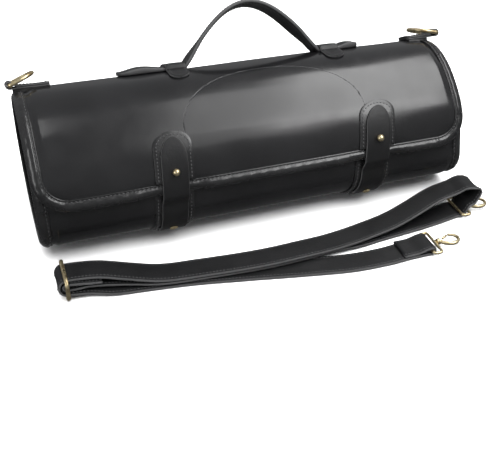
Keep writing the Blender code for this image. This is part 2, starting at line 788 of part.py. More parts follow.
def rounded_frame(half_a, half_b, radius, per_corner=3):
    """Places round a rectangle with rounded corners."""
    places = []
    for quarter in range(4):
        sign_a, sign_b = ((1, 1), (-1, 1), (-1, -1), (1, -1))[quarter]
        for k in range(per_corner):
            a = math.radians(90 * quarter + 90 * k / (per_corner - 1))
            places.append((sign_a * (half_a - radius) + radius * math.cos(a),
                           sign_b * (half_b - radius) + radius * math.sin(a)))
    return places


def join(first, second):
    """Makes one solid of two that overlap, and leaves the second out."""
    merge = first.modifiers.new("join", "BOOLEAN")
    merge.operation = "UNION"
    merge.object = second
    for home in list(second.users_collection):
        home.objects.unlink(second)
    cutters.objects.link(second)
    second.hide_render = True
    second.display_type = "WIRE"


def slide_piece():
    """An upright frame with a bar across its middle."""
    top = slide_high + sling_thickness / 2 + 2 * gap + slide_wire
    middle = (top + slide_wire) / 2
    half_y = slide_inner_width / 2 + slide_wire
    frame = rounded_frame(half_y, (top - slide_wire) / 2, slide_wire * 3, 4)
    path = [(slide_place, slide_y + a, middle + b) for a, b in frame]
    outer = tube("strap_slide", path, slide_wire, "brass", closed=True)
    bar_path = [(slide_place, slide_y + half_y * k, slide_bar_height) for k in (-1, -0.3, 0.3, 1)]
    bar = tube("slide_bar", bar_path, slide_bar_radius, "brass")
    join(outer, bar)


def straight_tube(name, start, end, radius, finish, sides=10):
    """A plain round rod between two points."""
    start, end = Vector(start), Vector(end)
    return turned(name, [(radius, 0.0), (radius, (end - start).length)], start, end - start, finish, sides)


def hook_outline():
    """Places along the hook's wire, from its neck round its bow to its nose."""
    length, half = hook_length, hook_width / 2
    return [(length * a, half * b) for a, b in (
        (0.02, 0.0), (0.12, -0.42), (0.30, -0.80), (0.50, -0.98), (0.72, -0.90), (0.90, -0.50), (0.96, 0.0),
        (0.90, 0.50), (0.74, 0.88), (0.60, 0.97))]


def clip_pieces(tag, place):
    x, y, z = place["x"], place["y"], clip_level
    half = clip_loop_width / 2 + clip_bar_radius
    loop = rounded_frame(clip_loop_depth / 2, half, clip_bar_radius * 1.73, 3)
    path = [(x + clip_loop_depth / 2 + a, y + b, z) for a, b in loop]
    ring = tube("clip_loop_" + tag, path, clip_bar_radius, "brass", closed=True)
    barrel_start = x + clip_loop_depth + clip_bar_radius + gap
    barrel_end = barrel_start + clip_barrel_length
    post = straight_tube("clip_post_" + tag, (x + clip_loop_depth, y, z),
                         (barrel_end - clip_barrel_length * 0.3, y, z), clip_post_radius, "brass", 8)
    join(ring, post)

    r = clip_barrel_radius
    barrel = turned("clip_hook_" + tag, [(r * 0.8, 0.0), (r, r * 0.25), (r, clip_barrel_length - r * 0.3),
                                         (r * 0.7, clip_barrel_length)],
                    (barrel_start, y, z), (1, 0, 0), "brass", 12)
    wire = [(barrel_end - hook_wire * 0.6 + a, y + b, z) for a, b in hook_outline()]
    join(barrel, tube("hook_wire_" + tag, through(wire, hook_wire * 2.33), hook_wire, "brass"))
    drill(barrel, (barrel_start, y, z), (1, 0, 0), clip_post_radius + gap, clip_barrel_length * 1.7)

    # The gate closes the hook from its neck to its nose
    nose = np.array([hook_length * 0.60 - hook_wire * 0.6, hook_width / 2 * 0.97])
    neck = np.array([hook_length * 0.10, hook_width / 2 * 0.30])
    way = (nose - neck) / np.linalg.norm(nose - neck)
    start = neck + way * hook_wire * 0.9
    stop = nose - way * (hook_wire * 0.6 + gap * 2)
    straight_tube("clip_gate_" + tag, (barrel_end + start[0], y + start[1], z),
                  (barrel_end + stop[0], y + stop[1], z), hook_wire * 0.72, "brass", 8)


slide_piece()
clip_pieces("a", clip_a)
clip_pieces("b", clip_b)
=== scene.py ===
import math

import bpy
import numpy as np
from mathutils import Matrix, Vector


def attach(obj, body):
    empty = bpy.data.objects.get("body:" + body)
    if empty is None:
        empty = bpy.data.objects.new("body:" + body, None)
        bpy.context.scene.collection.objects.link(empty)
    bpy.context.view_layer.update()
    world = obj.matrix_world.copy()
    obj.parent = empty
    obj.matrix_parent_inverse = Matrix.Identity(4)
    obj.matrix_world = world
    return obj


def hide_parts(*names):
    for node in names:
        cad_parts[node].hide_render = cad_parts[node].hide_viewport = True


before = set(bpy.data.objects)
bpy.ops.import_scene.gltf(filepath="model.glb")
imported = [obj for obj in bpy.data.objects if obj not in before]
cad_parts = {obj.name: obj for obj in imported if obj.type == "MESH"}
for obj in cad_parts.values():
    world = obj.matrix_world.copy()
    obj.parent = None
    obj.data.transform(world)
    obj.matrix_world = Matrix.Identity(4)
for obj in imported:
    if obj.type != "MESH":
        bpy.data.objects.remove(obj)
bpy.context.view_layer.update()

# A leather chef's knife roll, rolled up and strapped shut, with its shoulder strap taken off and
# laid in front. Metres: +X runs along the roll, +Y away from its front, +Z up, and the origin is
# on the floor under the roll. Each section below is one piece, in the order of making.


# The photograph's place. A long lens looks down on the roll's front from its left. A broad
# softbox hangs over the right half, a small one over the left end, and the room is dim.

look_turn, look_down = math.radians(18.56), math.radians(35.17)
picture_width = 497
focal_length_in_pixels = 859
look = Vector((math.sin(look_turn) * math.cos(look_down),
               math.cos(look_turn) * math.cos(look_down), -math.sin(look_down)))
camera = bpy.data.objects.new("camera", bpy.data.cameras.new("camera"))
bpy.context.scene.collection.objects.link(camera)
camera.location = (-0.2538, -0.7863, 0.5259)
camera.rotation_mode = "QUATERNION"
camera.rotation_quaternion = look.to_track_quat("-Z", "Y")
camera.data.sensor_width = 36.0
camera.data.lens = focal_length_in_pixels / picture_width * camera.data.sensor_width
camera.data.clip_start = 0.01
bpy.context.scene.camera = camera
bpy.context.scene.view_settings.view_transform = "Standard"


def softbox(name, at, towards, size, power, in_gloss=True):
    """A flat lamp facing a point, its first side along the roll and its second square to it."""
    data = bpy.data.lights.new(name, "AREA")
    data.shape = "RECTANGLE"
    data.size, data.size_y = size
    data.energy = power
    lamp = bpy.data.objects.new(name, data)
    bpy.context.scene.collection.objects.link(lamp)
    lamp.location = at
    back = (Vector(at) - Vector(towards)).normalized()
    along = (Vector((1, 0, 0)) - back * back.x).normalized()
    lamp.rotation_mode = "QUATERNION"
    lamp.rotation_quaternion = Matrix((along, back.cross(along), back)).transposed().to_quaternion()
    lamp.visible_camera = False
    lamp.visible_glossy = in_gloss


softbox("softbox_right", (0.60, -0.25, 0.97), (0.30, -0.03, 0.12), (0.40, 1.26), 8.6)
softbox("softbox_middle", (0.26, -0.29, 0.97), (0.06, -0.03, 0.12), (0.28, 0.80), 1.75)
softbox("softbox_front", (0.47, -0.86, 0.90), (0.10, -0.03, 0.12), (0.66, 0.34), 1.0)
softbox("softbox_left", (-0.19, -0.12, 1.20), (-0.19, -0.02, 0.14), (0.14, 0.30), 0.40)
softbox("side_light", (-1.30, -0.45, 0.50), (-0.20, 0.0, 0.10), (0.35, 0.9), 3.5)
softbox("room_light", (0.0, -0.2, 2.60), (0.0, 0.0, 0.0), (4.4, 4.4), 260.0, in_gloss=False)

world = bpy.data.worlds.new("studio")
bpy.context.scene.world = world
world.use_nodes = True
sky = world.node_tree.nodes
sky_links = world.node_tree.links
direction = sky.new("ShaderNodeTexCoord")
parts_of = sky.new("ShaderNodeSeparateXYZ")
fade = sky.new("ShaderNodeMapRange")
fade.inputs["From Min"].default_value = -0.25
fade.inputs["From Max"].default_value = 0.35
fade.inputs["To Min"].default_value = 0.12
fade.inputs["To Max"].default_value = 0.36
sky_links.new(direction.outputs["Generated"], parts_of.inputs[0])
sky_links.new(parts_of.outputs["Z"], fade.inputs["Value"])
sky_links.new(fade.outputs["Result"], sky["Background"].inputs["Strength"])
sky["Background"].inputs["Color"].default_value = (0.97, 0.98, 1.0, 1)

floor_mesh = bpy.data.meshes.new("floor")
floor_mesh.from_pydata([(-6, -6, -0.0004), (6, -6, -0.0004), (6, 6, -0.0004), (-6, 6, -0.0004)],
                       [], [(0, 1, 2, 3)])
floor = bpy.data.objects.new("floor", floor_mesh)
bpy.context.scene.collection.objects.link(floor)
paper = bpy.data.materials.new("studio_paper")
paper.use_nodes = True
paper.node_tree.nodes["Principled BSDF"].inputs["Base Color"].default_value = (0.93, 0.93, 0.93, 1)
paper.node_tree.nodes["Principled BSDF"].inputs["Roughness"].default_value = 0.9
floor_mesh.materials.append(paper)
floor.visible_glossy = False


# The outer sheet is one piece of polished black leather. It starts tucked under the flap, goes
# once round the rolled knives and ends as the wide flap with its rounded corners.

roll_length = 0.46
half_depth = 0.0912
height_above_widest = 0.0993
height_below_widest = 0.0515
top_roundness = 1.84
bottom_roundness = 2.18
right_end_taper = 0.04
sole_flattening = 0.0006
sheet_thickness = 0.0024
flap_edge = 0.131
flap_corner_radius = 0.034
tuck_ramp_length = 0.044
binding_width = 0.0105
binding_thickness = 0.0010
gap = 0.0003
slack = 0.0006
pinch_depth = 0.0006
pinch_reach = 0.0034
end_drop = 0.0034
curl_lift = 0.0028
curl_reach = 0.021
curl_held = (-0.095, 0.123)
curl_held_reach = (0.019, 0.044)
curl_free_ends = (0.188, 0.222)
gathered_ends = (0.165, 0.222)
long_folds = 0.041
short_folds = 0.023
fold_height = 0.00016
end_roll_left = 0.0105
end_roll_right = 0.014

end_length = roll_length / 2
recess = binding_thickness + gap
tuck_depth = recess + sheet_thickness + 2 * gap + binding_thickness + slack * 1.5
ramp_start = flap_edge + 2 * gap + binding_thickness + slack
ramp_end = ramp_start + tuck_ramp_length
ramp_x = end_length - binding_width - recess


def rolled_section(count):
    """Points (y, z) from the top line down the front and round: y = half depth times the cosine
    to the power 2 / roundness, z = height times the sine to that power, upper and lower halves
    with their own height and roundness."""
    turn = np.linspace(math.pi / 2, math.pi / 2 + 2 * math.pi, count)
    c, s = np.cos(turn), np.sin(turn)
    power = 2 / np.where(s >= 0, top_roundness, bottom_roundness)
    height = np.where(s >= 0, height_above_widest, height_below_widest)
    y = half_depth * np.sign(c) * np.abs(c) ** power
    z = height * np.sign(s) * np.abs(s) ** power + height_below_widest
    return y, z


section_y, section_z = rolled_section(4001)
section_run = np.concatenate([[0], np.cumsum(np.hypot(np.diff(section_y), np.diff(section_z)))])
girth = section_run[-1]
flap_end = girth + flap_edge
even_run = np.linspace(0, girth, 1201)[:-1]
even_y = np.interp(even_run, section_run, section_y)
even_z = np.interp(even_run, section_run, section_z)
slope_y = np.roll(even_y, -3) - np.roll(even_y, 3)
slope_z = np.roll(even_z, -3) - np.roll(even_z, 3)
slope_length = np.hypot(slope_y, slope_z)
normal_y, normal_z = slope_z / slope_length, -slope_y / slope_length


def on_roll(x, s, h):
    """The point x along the roll and s round it from its top line, raised h off the rolled
    surface along the section's normal, and never under the floor."""
    x, s, h = np.broadcast_arrays(np.asarray(x, float), np.asarray(s, float), np.asarray(h, float))
    taper = 1 - right_end_taper * (x / roll_length + 0.5)

    def along_section(values):
        """Values of the section read off at s."""
        return np.interp(s, even_run, values, period=girth)

    y = along_section(even_y) * taper + along_section(normal_y) * h
    z = along_section(even_z) * taper + along_section(normal_z) * h
    return np.stack([x, y, np.maximum(z - sole_flattening, 0)], -1)


def smooth(low, high, value):
    """0 below low, 1 above high, and t * t * (3 - 2 t) between."""
    t = np.clip((np.asarray(value, float) - low) / (high - low), 0, 1)
    return t * t * (3 - 2 * t)


def sheet_level(s):
    """The sheet lies a tuck's depth under the flap and ramps up to the surface past its edge."""
    return -tuck_depth * (1 - smooth(ramp_start, ramp_end, s))


def end_recess(x, s):
    """A dip at both ends for the binding, which fades out towards the flap's edge."""
    fade_out = 1 - smooth(flap_end - 2.2 * flap_corner_radius, flap_end - 1.1 * flap_corner_radius, s)
    return -recess * smooth(ramp_x - binding_width / 2, ramp_x, np.abs(x)) * fade_out


def corner_inset(s):
    """How far the flap's quarter-round corner draws its side in at s."""
    up = np.clip(s - (flap_end - flap_corner_radius), 0, flap_corner_radius)
    return flap_corner_radius - np.sqrt(flap_corner_radius ** 2 - up ** 2)


def edge_distance(x, s):
    """Distance to the bound edge: to the end, to the flap's edge, or to the rounded corner."""
    into_side = np.abs(x) - (end_length - flap_corner_radius)
    into_edge = s - (flap_end - flap_corner_radius)
    corner = flap_corner_radius - np.hypot(np.maximum(into_side, 0), np.maximum(into_edge, 0))
    straight = flap_corner_radius - np.maximum(into_side, into_edge)
    return np.where((into_side > 0) & (into_edge > 0), corner, straight)


def pinch(distance):
    """The stitched binding draws the leather down beside it, by an exponential that dies away."""
    return -pinch_depth * np.exp(-np.maximum(distance - binding_width, 0) / pinch_reach)


def end_droop(x):
    """Both ends roll over: a square law that starts a little before the binding."""
    reach = np.where(np.asarray(x) < 0, end_roll_left, end_roll_right)
    return -end_drop * np.clip((np.abs(x) - end_length + reach) / reach, 0, 1.1) ** 2


def flap_curl(x, s):
    """The flap's edge curls off the roll by a square law, but not under the closing straps."""
    lift = np.clip((np.asarray(s) - flap_end + curl_reach) / curl_reach, 0, 1.1) ** 2
    free = 1 - smooth(*curl_free_ends, np.abs(x))
    for held in curl_held:
        free = free * smooth(*curl_held_reach, np.abs(np.asarray(x) - held))
    return curl_lift * lift * free


def leather_swell(x, s):
    """Soft unevenness of stretched leather: long sine waves added up, and short ones near the
    ends where the roll is gathered."""
    waves = ((0.24, 0.00022, 0.4, 1.1), (0.15, 0.00016, 1.2, 0.3), (0.095, 0.00010, -0.5, 2.0),
             (0.070, 0.00006, 0.9, 4.2), (0.052, 0.00005, -1.1, 5.1))
    total = 0
    for length, height, turn, start in waves:
        along = x * math.cos(turn) + s * math.sin(turn)
        total = total + height * np.sin(2 * math.pi * along / length + start)
    gathered = smooth(*gathered_ends, np.abs(x))
    folds = (np.sin(2 * math.pi * s / long_folds + 9 * x)
             + 0.6 * np.sin(2 * math.pi * s / short_folds + 14 * x + 1))
    return total + fold_height * gathered * folds


def add_piece(name, points, quads, triangles, finish, body="roll", marks=None):
    """A mesh object from arrays of points and faces, turned outwards by the sign of its volume,
    with named numbers kept on its points, riding on a body."""
    points = np.asarray(points, float).reshape(-1, 3)
    quads = np.asarray(quads, int).reshape(-1, 4)
    triangles = np.asarray(triangles, int).reshape(-1, 3)
    halves = np.concatenate([quads[:, [0, 1, 2]], quads[:, [0, 2, 3]], triangles])
    a, b, c = points[halves[:, 0]], points[halves[:, 1]], points[halves[:, 2]]
    if np.einsum("ij,ij->i", a, np.cross(b, c)).sum() < 0:
        quads, triangles = quads[:, ::-1], triangles[:, ::-1]
    mesh = bpy.data.meshes.new(name)
    mesh.from_pydata(points, [], quads.tolist() + triangles.tolist())
    mesh.polygons.foreach_set("use_smooth", np.ones(len(mesh.polygons), bool))
    for mark, values in (marks or {}).items():
        kept = mesh.attributes.new(mark, "FLOAT", "POINT")
        kept.data.foreach_set("value", np.asarray(values, np.float32).ravel())
    mesh.materials.append(finish)
    piece = bpy.data.objects.new(name, mesh)
    bpy.context.scene.collection.objects.link(piece)
    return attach(piece, body)


def grid_faces(rows, columns, start=0):
    """Four-cornered faces over a grid of points that are stored row by row."""
    i, j = np.meshgrid(np.arange(rows - 1), np.arange(columns - 1), indexing="ij")
    k = start + i * columns + j
    return np.stack([k, k + 1, k + columns + 1, k + columns], -1).reshape(-1, 4)


def thick_sheet(name, over, under, finish, marks=None):
    """A closed sheet between an upper and a lower grid of points, with a wall round its rim."""
    rows, columns = over.shape[:2]
    size = rows * columns
    rim = np.concatenate([np.arange(columns), np.arange(1, rows) * columns + columns - 1,
                          (rows - 1) * columns + np.arange(columns - 2, -1, -1),
                          np.arange(rows - 2, 0, -1) * columns])
    following = np.roll(rim, -1)
    walls = np.stack([rim, rim + size, following + size, following], -1)
    quads = np.concatenate([grid_faces(rows, columns), grid_faces(rows, columns, size)[:, ::-1], walls])
    points = np.concatenate([over.reshape(-1, 3), under.reshape(-1, 3)])
    both = {mark: np.concatenate([np.ravel(v), np.ravel(v)]) for mark, v in (marks or {}).items()}
    return add_piece(name, points, quads, [], finish, marks=both)


def principled(name, colour, roughness, metallic=0.0):
    """A new material with its nodes, links and shader."""
    made = bpy.data.materials.new(name)
    made.use_nodes = True
    nodes, links = made.node_tree.nodes, made.node_tree.links
    shader = nodes["Principled BSDF"]
    shader.inputs["Base Color"].default_value = (*colour, 1)
    shader.inputs["Roughness"].default_value = roughness
    shader.inputs["Metallic"].default_value = metallic
    return made, nodes, links, shader


def noise_at(nodes, links, place, scale, detail=2.0):
    """The value of a cloudy pattern at a place."""
    noise = nodes.new("ShaderNodeTexNoise")
    noise.inputs["Scale"].default_value = scale
    noise.inputs["Detail"].default_value = detail
    links.new(place, noise.inputs["Vector"])
    return noise.outputs["Fac"]


def ranged(nodes, links, value, low, high, out_low, out_high):
    """A value stretched from one range to another, eased and clamped."""
    stretch = nodes.new("ShaderNodeMapRange")
    stretch.interpolation_type = "SMOOTHSTEP"
    for name, number in (("From Min", low), ("From Max", high), ("To Min", out_low), ("To Max", out_high)):
        stretch.inputs[name].default_value = number
    links.new(value, stretch.inputs["Value"])
    return stretch.outputs["Result"]


def two_tone(nodes, links, share, first, second):
    """One colour fading into another."""
    mix = nodes.new("ShaderNodeMix")
    mix.data_type = "RGBA"
    mix.inputs["A"].default_value = (*first, 1)
    mix.inputs["B"].default_value = (*second, 1)
    links.new(share, mix.inputs["Factor"])
    return mix.outputs["Result"]


def bumped(nodes, links, shader, height, distance, strength=1.0):
    """One more layer of relief, in metres, over any that the shader already has."""
    bump = nodes.new("ShaderNodeBump")
    bump.inputs["Strength"].default_value = strength
    bump.inputs["Distance"].default_value = distance
    links.new(height, bump.inputs["Height"])
    socket = shader.inputs["Normal"]
    if socket.is_linked:
        links.new(socket.links[0].from_socket, bump.inputs["Normal"])
    links.new(bump.outputs["Normal"], socket)


def leather(name, colour, worn, roughness, grain, grain_scale, coat):
    """Leather: a colour that wanders a little, cells of grain, fine pores, and a clear glaze whose
    smoothness wanders too."""
    made, nodes, links, shader = principled(name, colour, roughness[0])
    place = nodes.new("ShaderNodeTexCoord").outputs["Object"]
    wander = noise_at(nodes, links, place, 14, 4)
    links.new(two_tone(nodes, links, ranged(nodes, links, wander, 0.35, 0.7, 0, 1), colour, worn),
              shader.inputs["Base Color"])
    patches = noise_at(nodes, links, place, 45, 3)
    links.new(ranged(nodes, links, patches, 0.3, 0.7, *roughness), shader.inputs["Roughness"])
    cells = nodes.new("ShaderNodeTexVoronoi")
    cells.inputs["Scale"].default_value = grain_scale
    links.new(place, cells.inputs["Vector"])
    bumped(nodes, links, shader, cells.outputs["Distance"], grain)
    bumped(nodes, links, shader, noise_at(nodes, links, place, grain_scale * 2.4, 3), grain * 0.5)
    shader.inputs["Coat Weight"].default_value = coat
    shader.inputs["Coat Roughness"].default_value = 0.12
    return made, nodes, links, shader, place


glazed_leather, nodes, links, shader, place = leather(
    "glazed_leather", (0.0035, 0.0035, 0.0038), (0.0060, 0.0060, 0.0064), (0.20, 0.27), 0.000015, 950, 0.25)
bumped(nodes, links, shader, noise_at(nodes, links, place, 34, 2), 0.00012)
from_arc = nodes.new("ShaderNodeAttribute")
from_arc.attribute_name = "from_oval"
groove = ranged(nodes, links, from_arc.outputs["Fac"], 0.0, 0.0011, 0, 1)
bumped(nodes, links, shader, groove, 0.0005)

arc_centre = 0.020
arc_half_width = 0.097
arc_low, arc_high = 0.074, 0.008


def from_oval(x, s):
    """Distance to the stitched half oval on the flap: (r - 1) over r's own slope, where r is the
    root of (x / a)^2 + (y / b)^2."""
    a, b = arc_half_width, arc_low - arc_high
    u, v = (x - arc_centre) / a, (girth + arc_low - s) / b
    r = np.maximum(np.hypot(u, v), 0.05)
    distance = np.abs(r - 1) * r / np.maximum(np.hypot(u / a, v / b), 0.01)
    return np.where((v > -0.03) & (s > girth - 0.02), distance, 0.05)


sheet_rows = np.concatenate([np.linspace(0, flap_end - flap_corner_radius, 215)[:-1],
                             flap_end - flap_corner_radius
                             + flap_corner_radius * np.sin(np.linspace(0, math.pi / 2, 22))])
across_half = np.concatenate([np.linspace(0, 0.92, 62)[:-1], 0.92 + 0.08 * np.linspace(0, 1, 18)])
across_sheet = np.concatenate([-across_half[:0:-1], across_half])
sheet_x = (end_length - corner_inset(sheet_rows))[:, None] * across_sheet[None, :]
sheet_s = np.broadcast_to(sheet_rows[:, None], sheet_x.shape)
sheet_face = (sheet_level(sheet_s) + end_recess(sheet_x, sheet_s) + end_droop(sheet_x)
              + flap_curl(sheet_x, sheet_s))
sheet_top = sheet_face + pinch(edge_distance(sheet_x, sheet_s)) + leather_swell(sheet_x, sheet_s)
outer_sheet = thick_sheet("outer_sheet_leather", on_roll(sheet_x, sheet_s, sheet_top),
                          on_roll(sheet_x, sheet_s, sheet_face - sheet_thickness), glazed_leather,
                          marks={"from_oval": from_oval(sheet_x, sheet_s)})
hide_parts("outer_sheet")


# Inside, a suede-like cloth lines the leather. A glossy zip pocket covers the flap's inner side,
# a strip of stitched knife slots runs along the left end, and a soft cover folds in from the right.

lining_thickness = 0.0008
pocket_thickness = 0.0015
slot_panel_thickness = 0.0016
cover_thickness = 0.0014
zip_pocket_depth = 0.155
slot_panel_depth = 0.14
cover_depth = 0.215
slot_count = 10
inner_margin = 0.022

lining_side = ramp_x - binding_width / 2 - gap
lining_first = binding_width + slack
corner_room = flap_corner_radius - binding_width - slack
corner_side = lining_side - (end_length - flap_corner_radius)
pocket_last = flap_end - flap_corner_radius + math.sqrt(corner_room ** 2 - corner_side ** 2)
pocket_first = pocket_last - zip_pocket_depth
lining_depth = sheet_thickness + gap
panel_depth = lining_depth + lining_thickness + gap
slots_first = lining_first + inner_margin
slots_last = pocket_first - inner_margin
slot_pitch = (slots_last - slots_first) / slot_count

suede_lining, nodes, links, shader = principled("suede_lining", (0.012, 0.012, 0.012), 0.95)
place = nodes.new("ShaderNodeTexCoord").outputs["Object"]
nap = noise_at(nodes, links, place, 900, 5)
links.new(two_tone(nodes, links, ranged(nodes, links, nap, 0.3, 0.7, 0, 1),
                   (0.008, 0.008, 0.008), (0.018, 0.018, 0.018)), shader.inputs["Base Color"])
bumped(nodes, links, shader, nap, 0.00025)
shader.inputs["Sheen Weight"].default_value = 0.10
shader.inputs["Sheen Roughness"].default_value = 0.6


def inner_panel(name, node, first, last, left, right, depth, thickness, finish, ribs=None):
    """A panel on the inner side of the sheet: a grid of s and x, with its edges rounded off and
    its own swelling over its thickness."""
    s = np.linspace(first, last, 261)[:, None]
    u = np.linspace(0, 1, 41)[None, :]
    x = left + (right - left) * (0.5 - 0.5 * np.cos(math.pi * u)) + 0 * s
    s = s + 0 * x
    rim = np.minimum(np.minimum(x - left, right - x), np.minimum(s - first, last - s))
    full = thickness * (0.45 + 0.55 * smooth(0, 0.003, rim))
    if ribs is not None:
        full = full * ribs(s)
    top = sheet_level(s) - depth
    made = thick_sheet(name, on_roll(x, s, top), on_roll(x, s, top - full), finish)
    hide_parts(node)


def slot_swell(s):
    """Each knife slot swells between its two seams, as the size of a sine."""
    return 0.4 + 0.6 * np.abs(np.sin(math.pi * (s - slots_first) / slot_pitch))


inner_panel("lining_cloth", "lining", lining_first, pocket_first - slack, -lining_side, lining_side,
            lining_depth, lining_thickness, suede_lining)
inner_panel("zip_pocket_leather", "zip_pocket", pocket_first, pocket_last, -lining_side, lining_side,
            lining_depth, pocket_thickness, glazed_leather)
inner_panel("knife_slot_strip", "knife_slots", slots_first, slots_last, -lining_side,
            -lining_side + slot_panel_depth, panel_depth, slot_panel_thickness, suede_lining,
            slot_swell)
inner_panel("cover_flap_cloth", "cover_flap", slots_first, slots_last, lining_side - cover_depth,
            lining_side, panel_depth, cover_thickness, suede_lining)


# The edge binding is a strip of leather folded over the sheet's edge, round both ends and the
# flap. One line of stitches near its inner edge draws it in, so it swells towards the fold.

binding_pitch = 0.0042
binding_stitch_line = 0.0082
binding_stitch = (binding_pitch, 0.0031, 0.0010)
draw_depth, draw_place, draw_reach = 0.00016, 0.0086, 0.0012
puff_height, puff_place, puff_reach = 0.00018, 0.0045, 0.0030
puff_pitch = 0.013
puff_drift = 0.05

trim_leather, nodes, links, shader, place = leather(
    "trim_leather", (0.0040, 0.0040, 0.0042), (0.0080, 0.0080, 0.0082), (0.20, 0.32), 0.00003, 1300, 0.35)
bumped(nodes, links, shader, noise_at(nodes, links, place, 190, 3), 0.00008)


def binding_path():
    """Places (x, s) along the bound edge with the inward direction at each: down the left end,
    round the corner, along the flap's edge and back up the right end."""
    straight = np.linspace(0, flap_end - flap_corner_radius, 594)
    turns = np.linspace(0, math.pi / 2, 52)[1:]
    along = np.linspace(-1, 1, 374)[1:-1] * (end_length - flap_corner_radius)
    x = np.concatenate([0 * straight - end_length,
                        -end_length + flap_corner_radius * (1 - np.cos(turns))])
    s = np.concatenate([straight, flap_end - flap_corner_radius * (1 - np.sin(turns))])
    inward = np.concatenate([0 * straight + 1, np.cos(turns)])
    back = np.concatenate([0 * straight, -np.sin(turns)])
    x = np.concatenate([x, along, -x[::-1]])
    s = np.concatenate([s, 0 * along + flap_end, s[::-1]])
    inward = np.concatenate([inward, 0 * along, -inward[::-1]])
    back = np.concatenate([back, 0 * along - 1, back[::-1]])
    return x, s, inward, back


def binding_level(x, s):
    """The sheet's own level under the binding."""
    recessed = end_recess(np.clip(x, -end_length, end_length), s)
    return sheet_level(s) + recessed + end_droop(x) + flap_curl(x, s)


def close_loops(rows, around, closed_on_itself=False):
    """Faces of a tube of rings, and fans over its two ends unless it closes on itself."""
    i, k = np.meshgrid(np.arange(rows if closed_on_itself else rows - 1), np.arange(around), indexing="ij")
    j, m = (i + 1) % rows, (k + 1) % around
    quads = np.stack([i * around + k, i * around + m, j * around + m, j * around + k], -1).reshape(-1, 4)
    if closed_on_itself:
        return quads, np.zeros((0, 3), int)
    k = np.arange(around)
    m = (k + 1) % around
    first = np.stack([0 * k + rows * around, m, k], -1)
    last = np.stack([0 * k + rows * around + 1, (rows - 1) * around + k, (rows - 1) * around + m], -1)
    return quads, np.concatenate([first, last])


def lofted(name, rings, finish, body="roll", closed_on_itself=False, marks=None):
    """A solid skin over rings of points, its open ends closed by fans about their middles."""
    rings = np.asarray(rings, float)
    rows, around = rings.shape[:2]
    quads, triangles = close_loops(rows, around, closed_on_itself)
    points = rings.reshape(-1, 3)
    extra = {}
    if not closed_on_itself:
        points = np.concatenate([points, [rings[0].mean(0), rings[-1].mean(0)]])
    for mark, values in (marks or {}).items():
        values = np.broadcast_to(values, (rows, around)).ravel()
        extra[mark] = values if closed_on_itself else np.concatenate([values, [values[0], values[-1]]])
    return add_piece(name, points, quads, triangles, finish, body, extra)


top_across = np.array([10.5, 10.45, 10.1, 9.5, 8.9, 8.2, 7.8, 7.1, 6.2, 5.0, 3.5, 2.0, 0.6, -0.6,
                       -1.2, -1.35]) / 1000
top_height = np.array([-0.75, -0.10, 0.40, 0.60, 0.40, -0.05, 0.50, 1.12, 1.58, 1.82, 1.82, 1.60,
                       1.15, 0.40, -0.3, -1.2]) / 1000
leaf_across = np.concatenate([top_across, top_across[-2::-1], [0.0104, -0.0002, -0.0002, 0.0104]])
leaf_height = np.concatenate([top_height, -sheet_thickness - top_height[-2::-1],
                              [-sheet_thickness - gap / 2, -sheet_thickness - gap / 2, gap / 2, -0.0008]])
path_x, path_s, path_in, path_back = binding_path()
ring_x = path_x[:, None] + path_in[:, None] * leaf_across
ring_s = path_s[:, None] + path_back[:, None] * leaf_across
path_places = on_roll(path_x, path_s, 0)
path_run = np.concatenate([[0], np.cumsum(np.linalg.norm(np.diff(path_places, axis=0), axis=1))])
pulled = np.cos(path_run / binding_pitch * 2 * math.pi)
pucker = np.sin(path_run / puff_pitch * 2 * math.pi + 3 * np.sin(path_run / puff_drift))
is_top = (leaf_height > -0.0009).astype(float)
drawn_in = draw_depth * pulled[:, None] * np.exp(-((leaf_across - draw_place) / draw_reach) ** 2)
puffed_up = puff_height * pucker[:, None] * np.exp(-((leaf_across - puff_place) / puff_reach) ** 2)
leaf_swell = leaf_height + (puffed_up - drawn_in) * is_top
edge_binding = lofted("edge_binding_leather",
                      on_roll(ring_x, ring_s, binding_level(ring_x, ring_s) + leaf_swell), trim_leather)
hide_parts("edge_binding")

thread, nodes, links, shader = principled("waxed_thread", (0.035, 0.035, 0.036), 0.55)
place = nodes.new("ShaderNodeTexCoord").outputs["Object"]
ply = noise_at(nodes, links, place, 2600, 2)
links.new(two_tone(nodes, links, ply, (0.022, 0.022, 0.023), (0.055, 0.055, 0.056)),
          shader.inputs["Base Color"])
bumped(nodes, links, shader, ply, 0.00008)


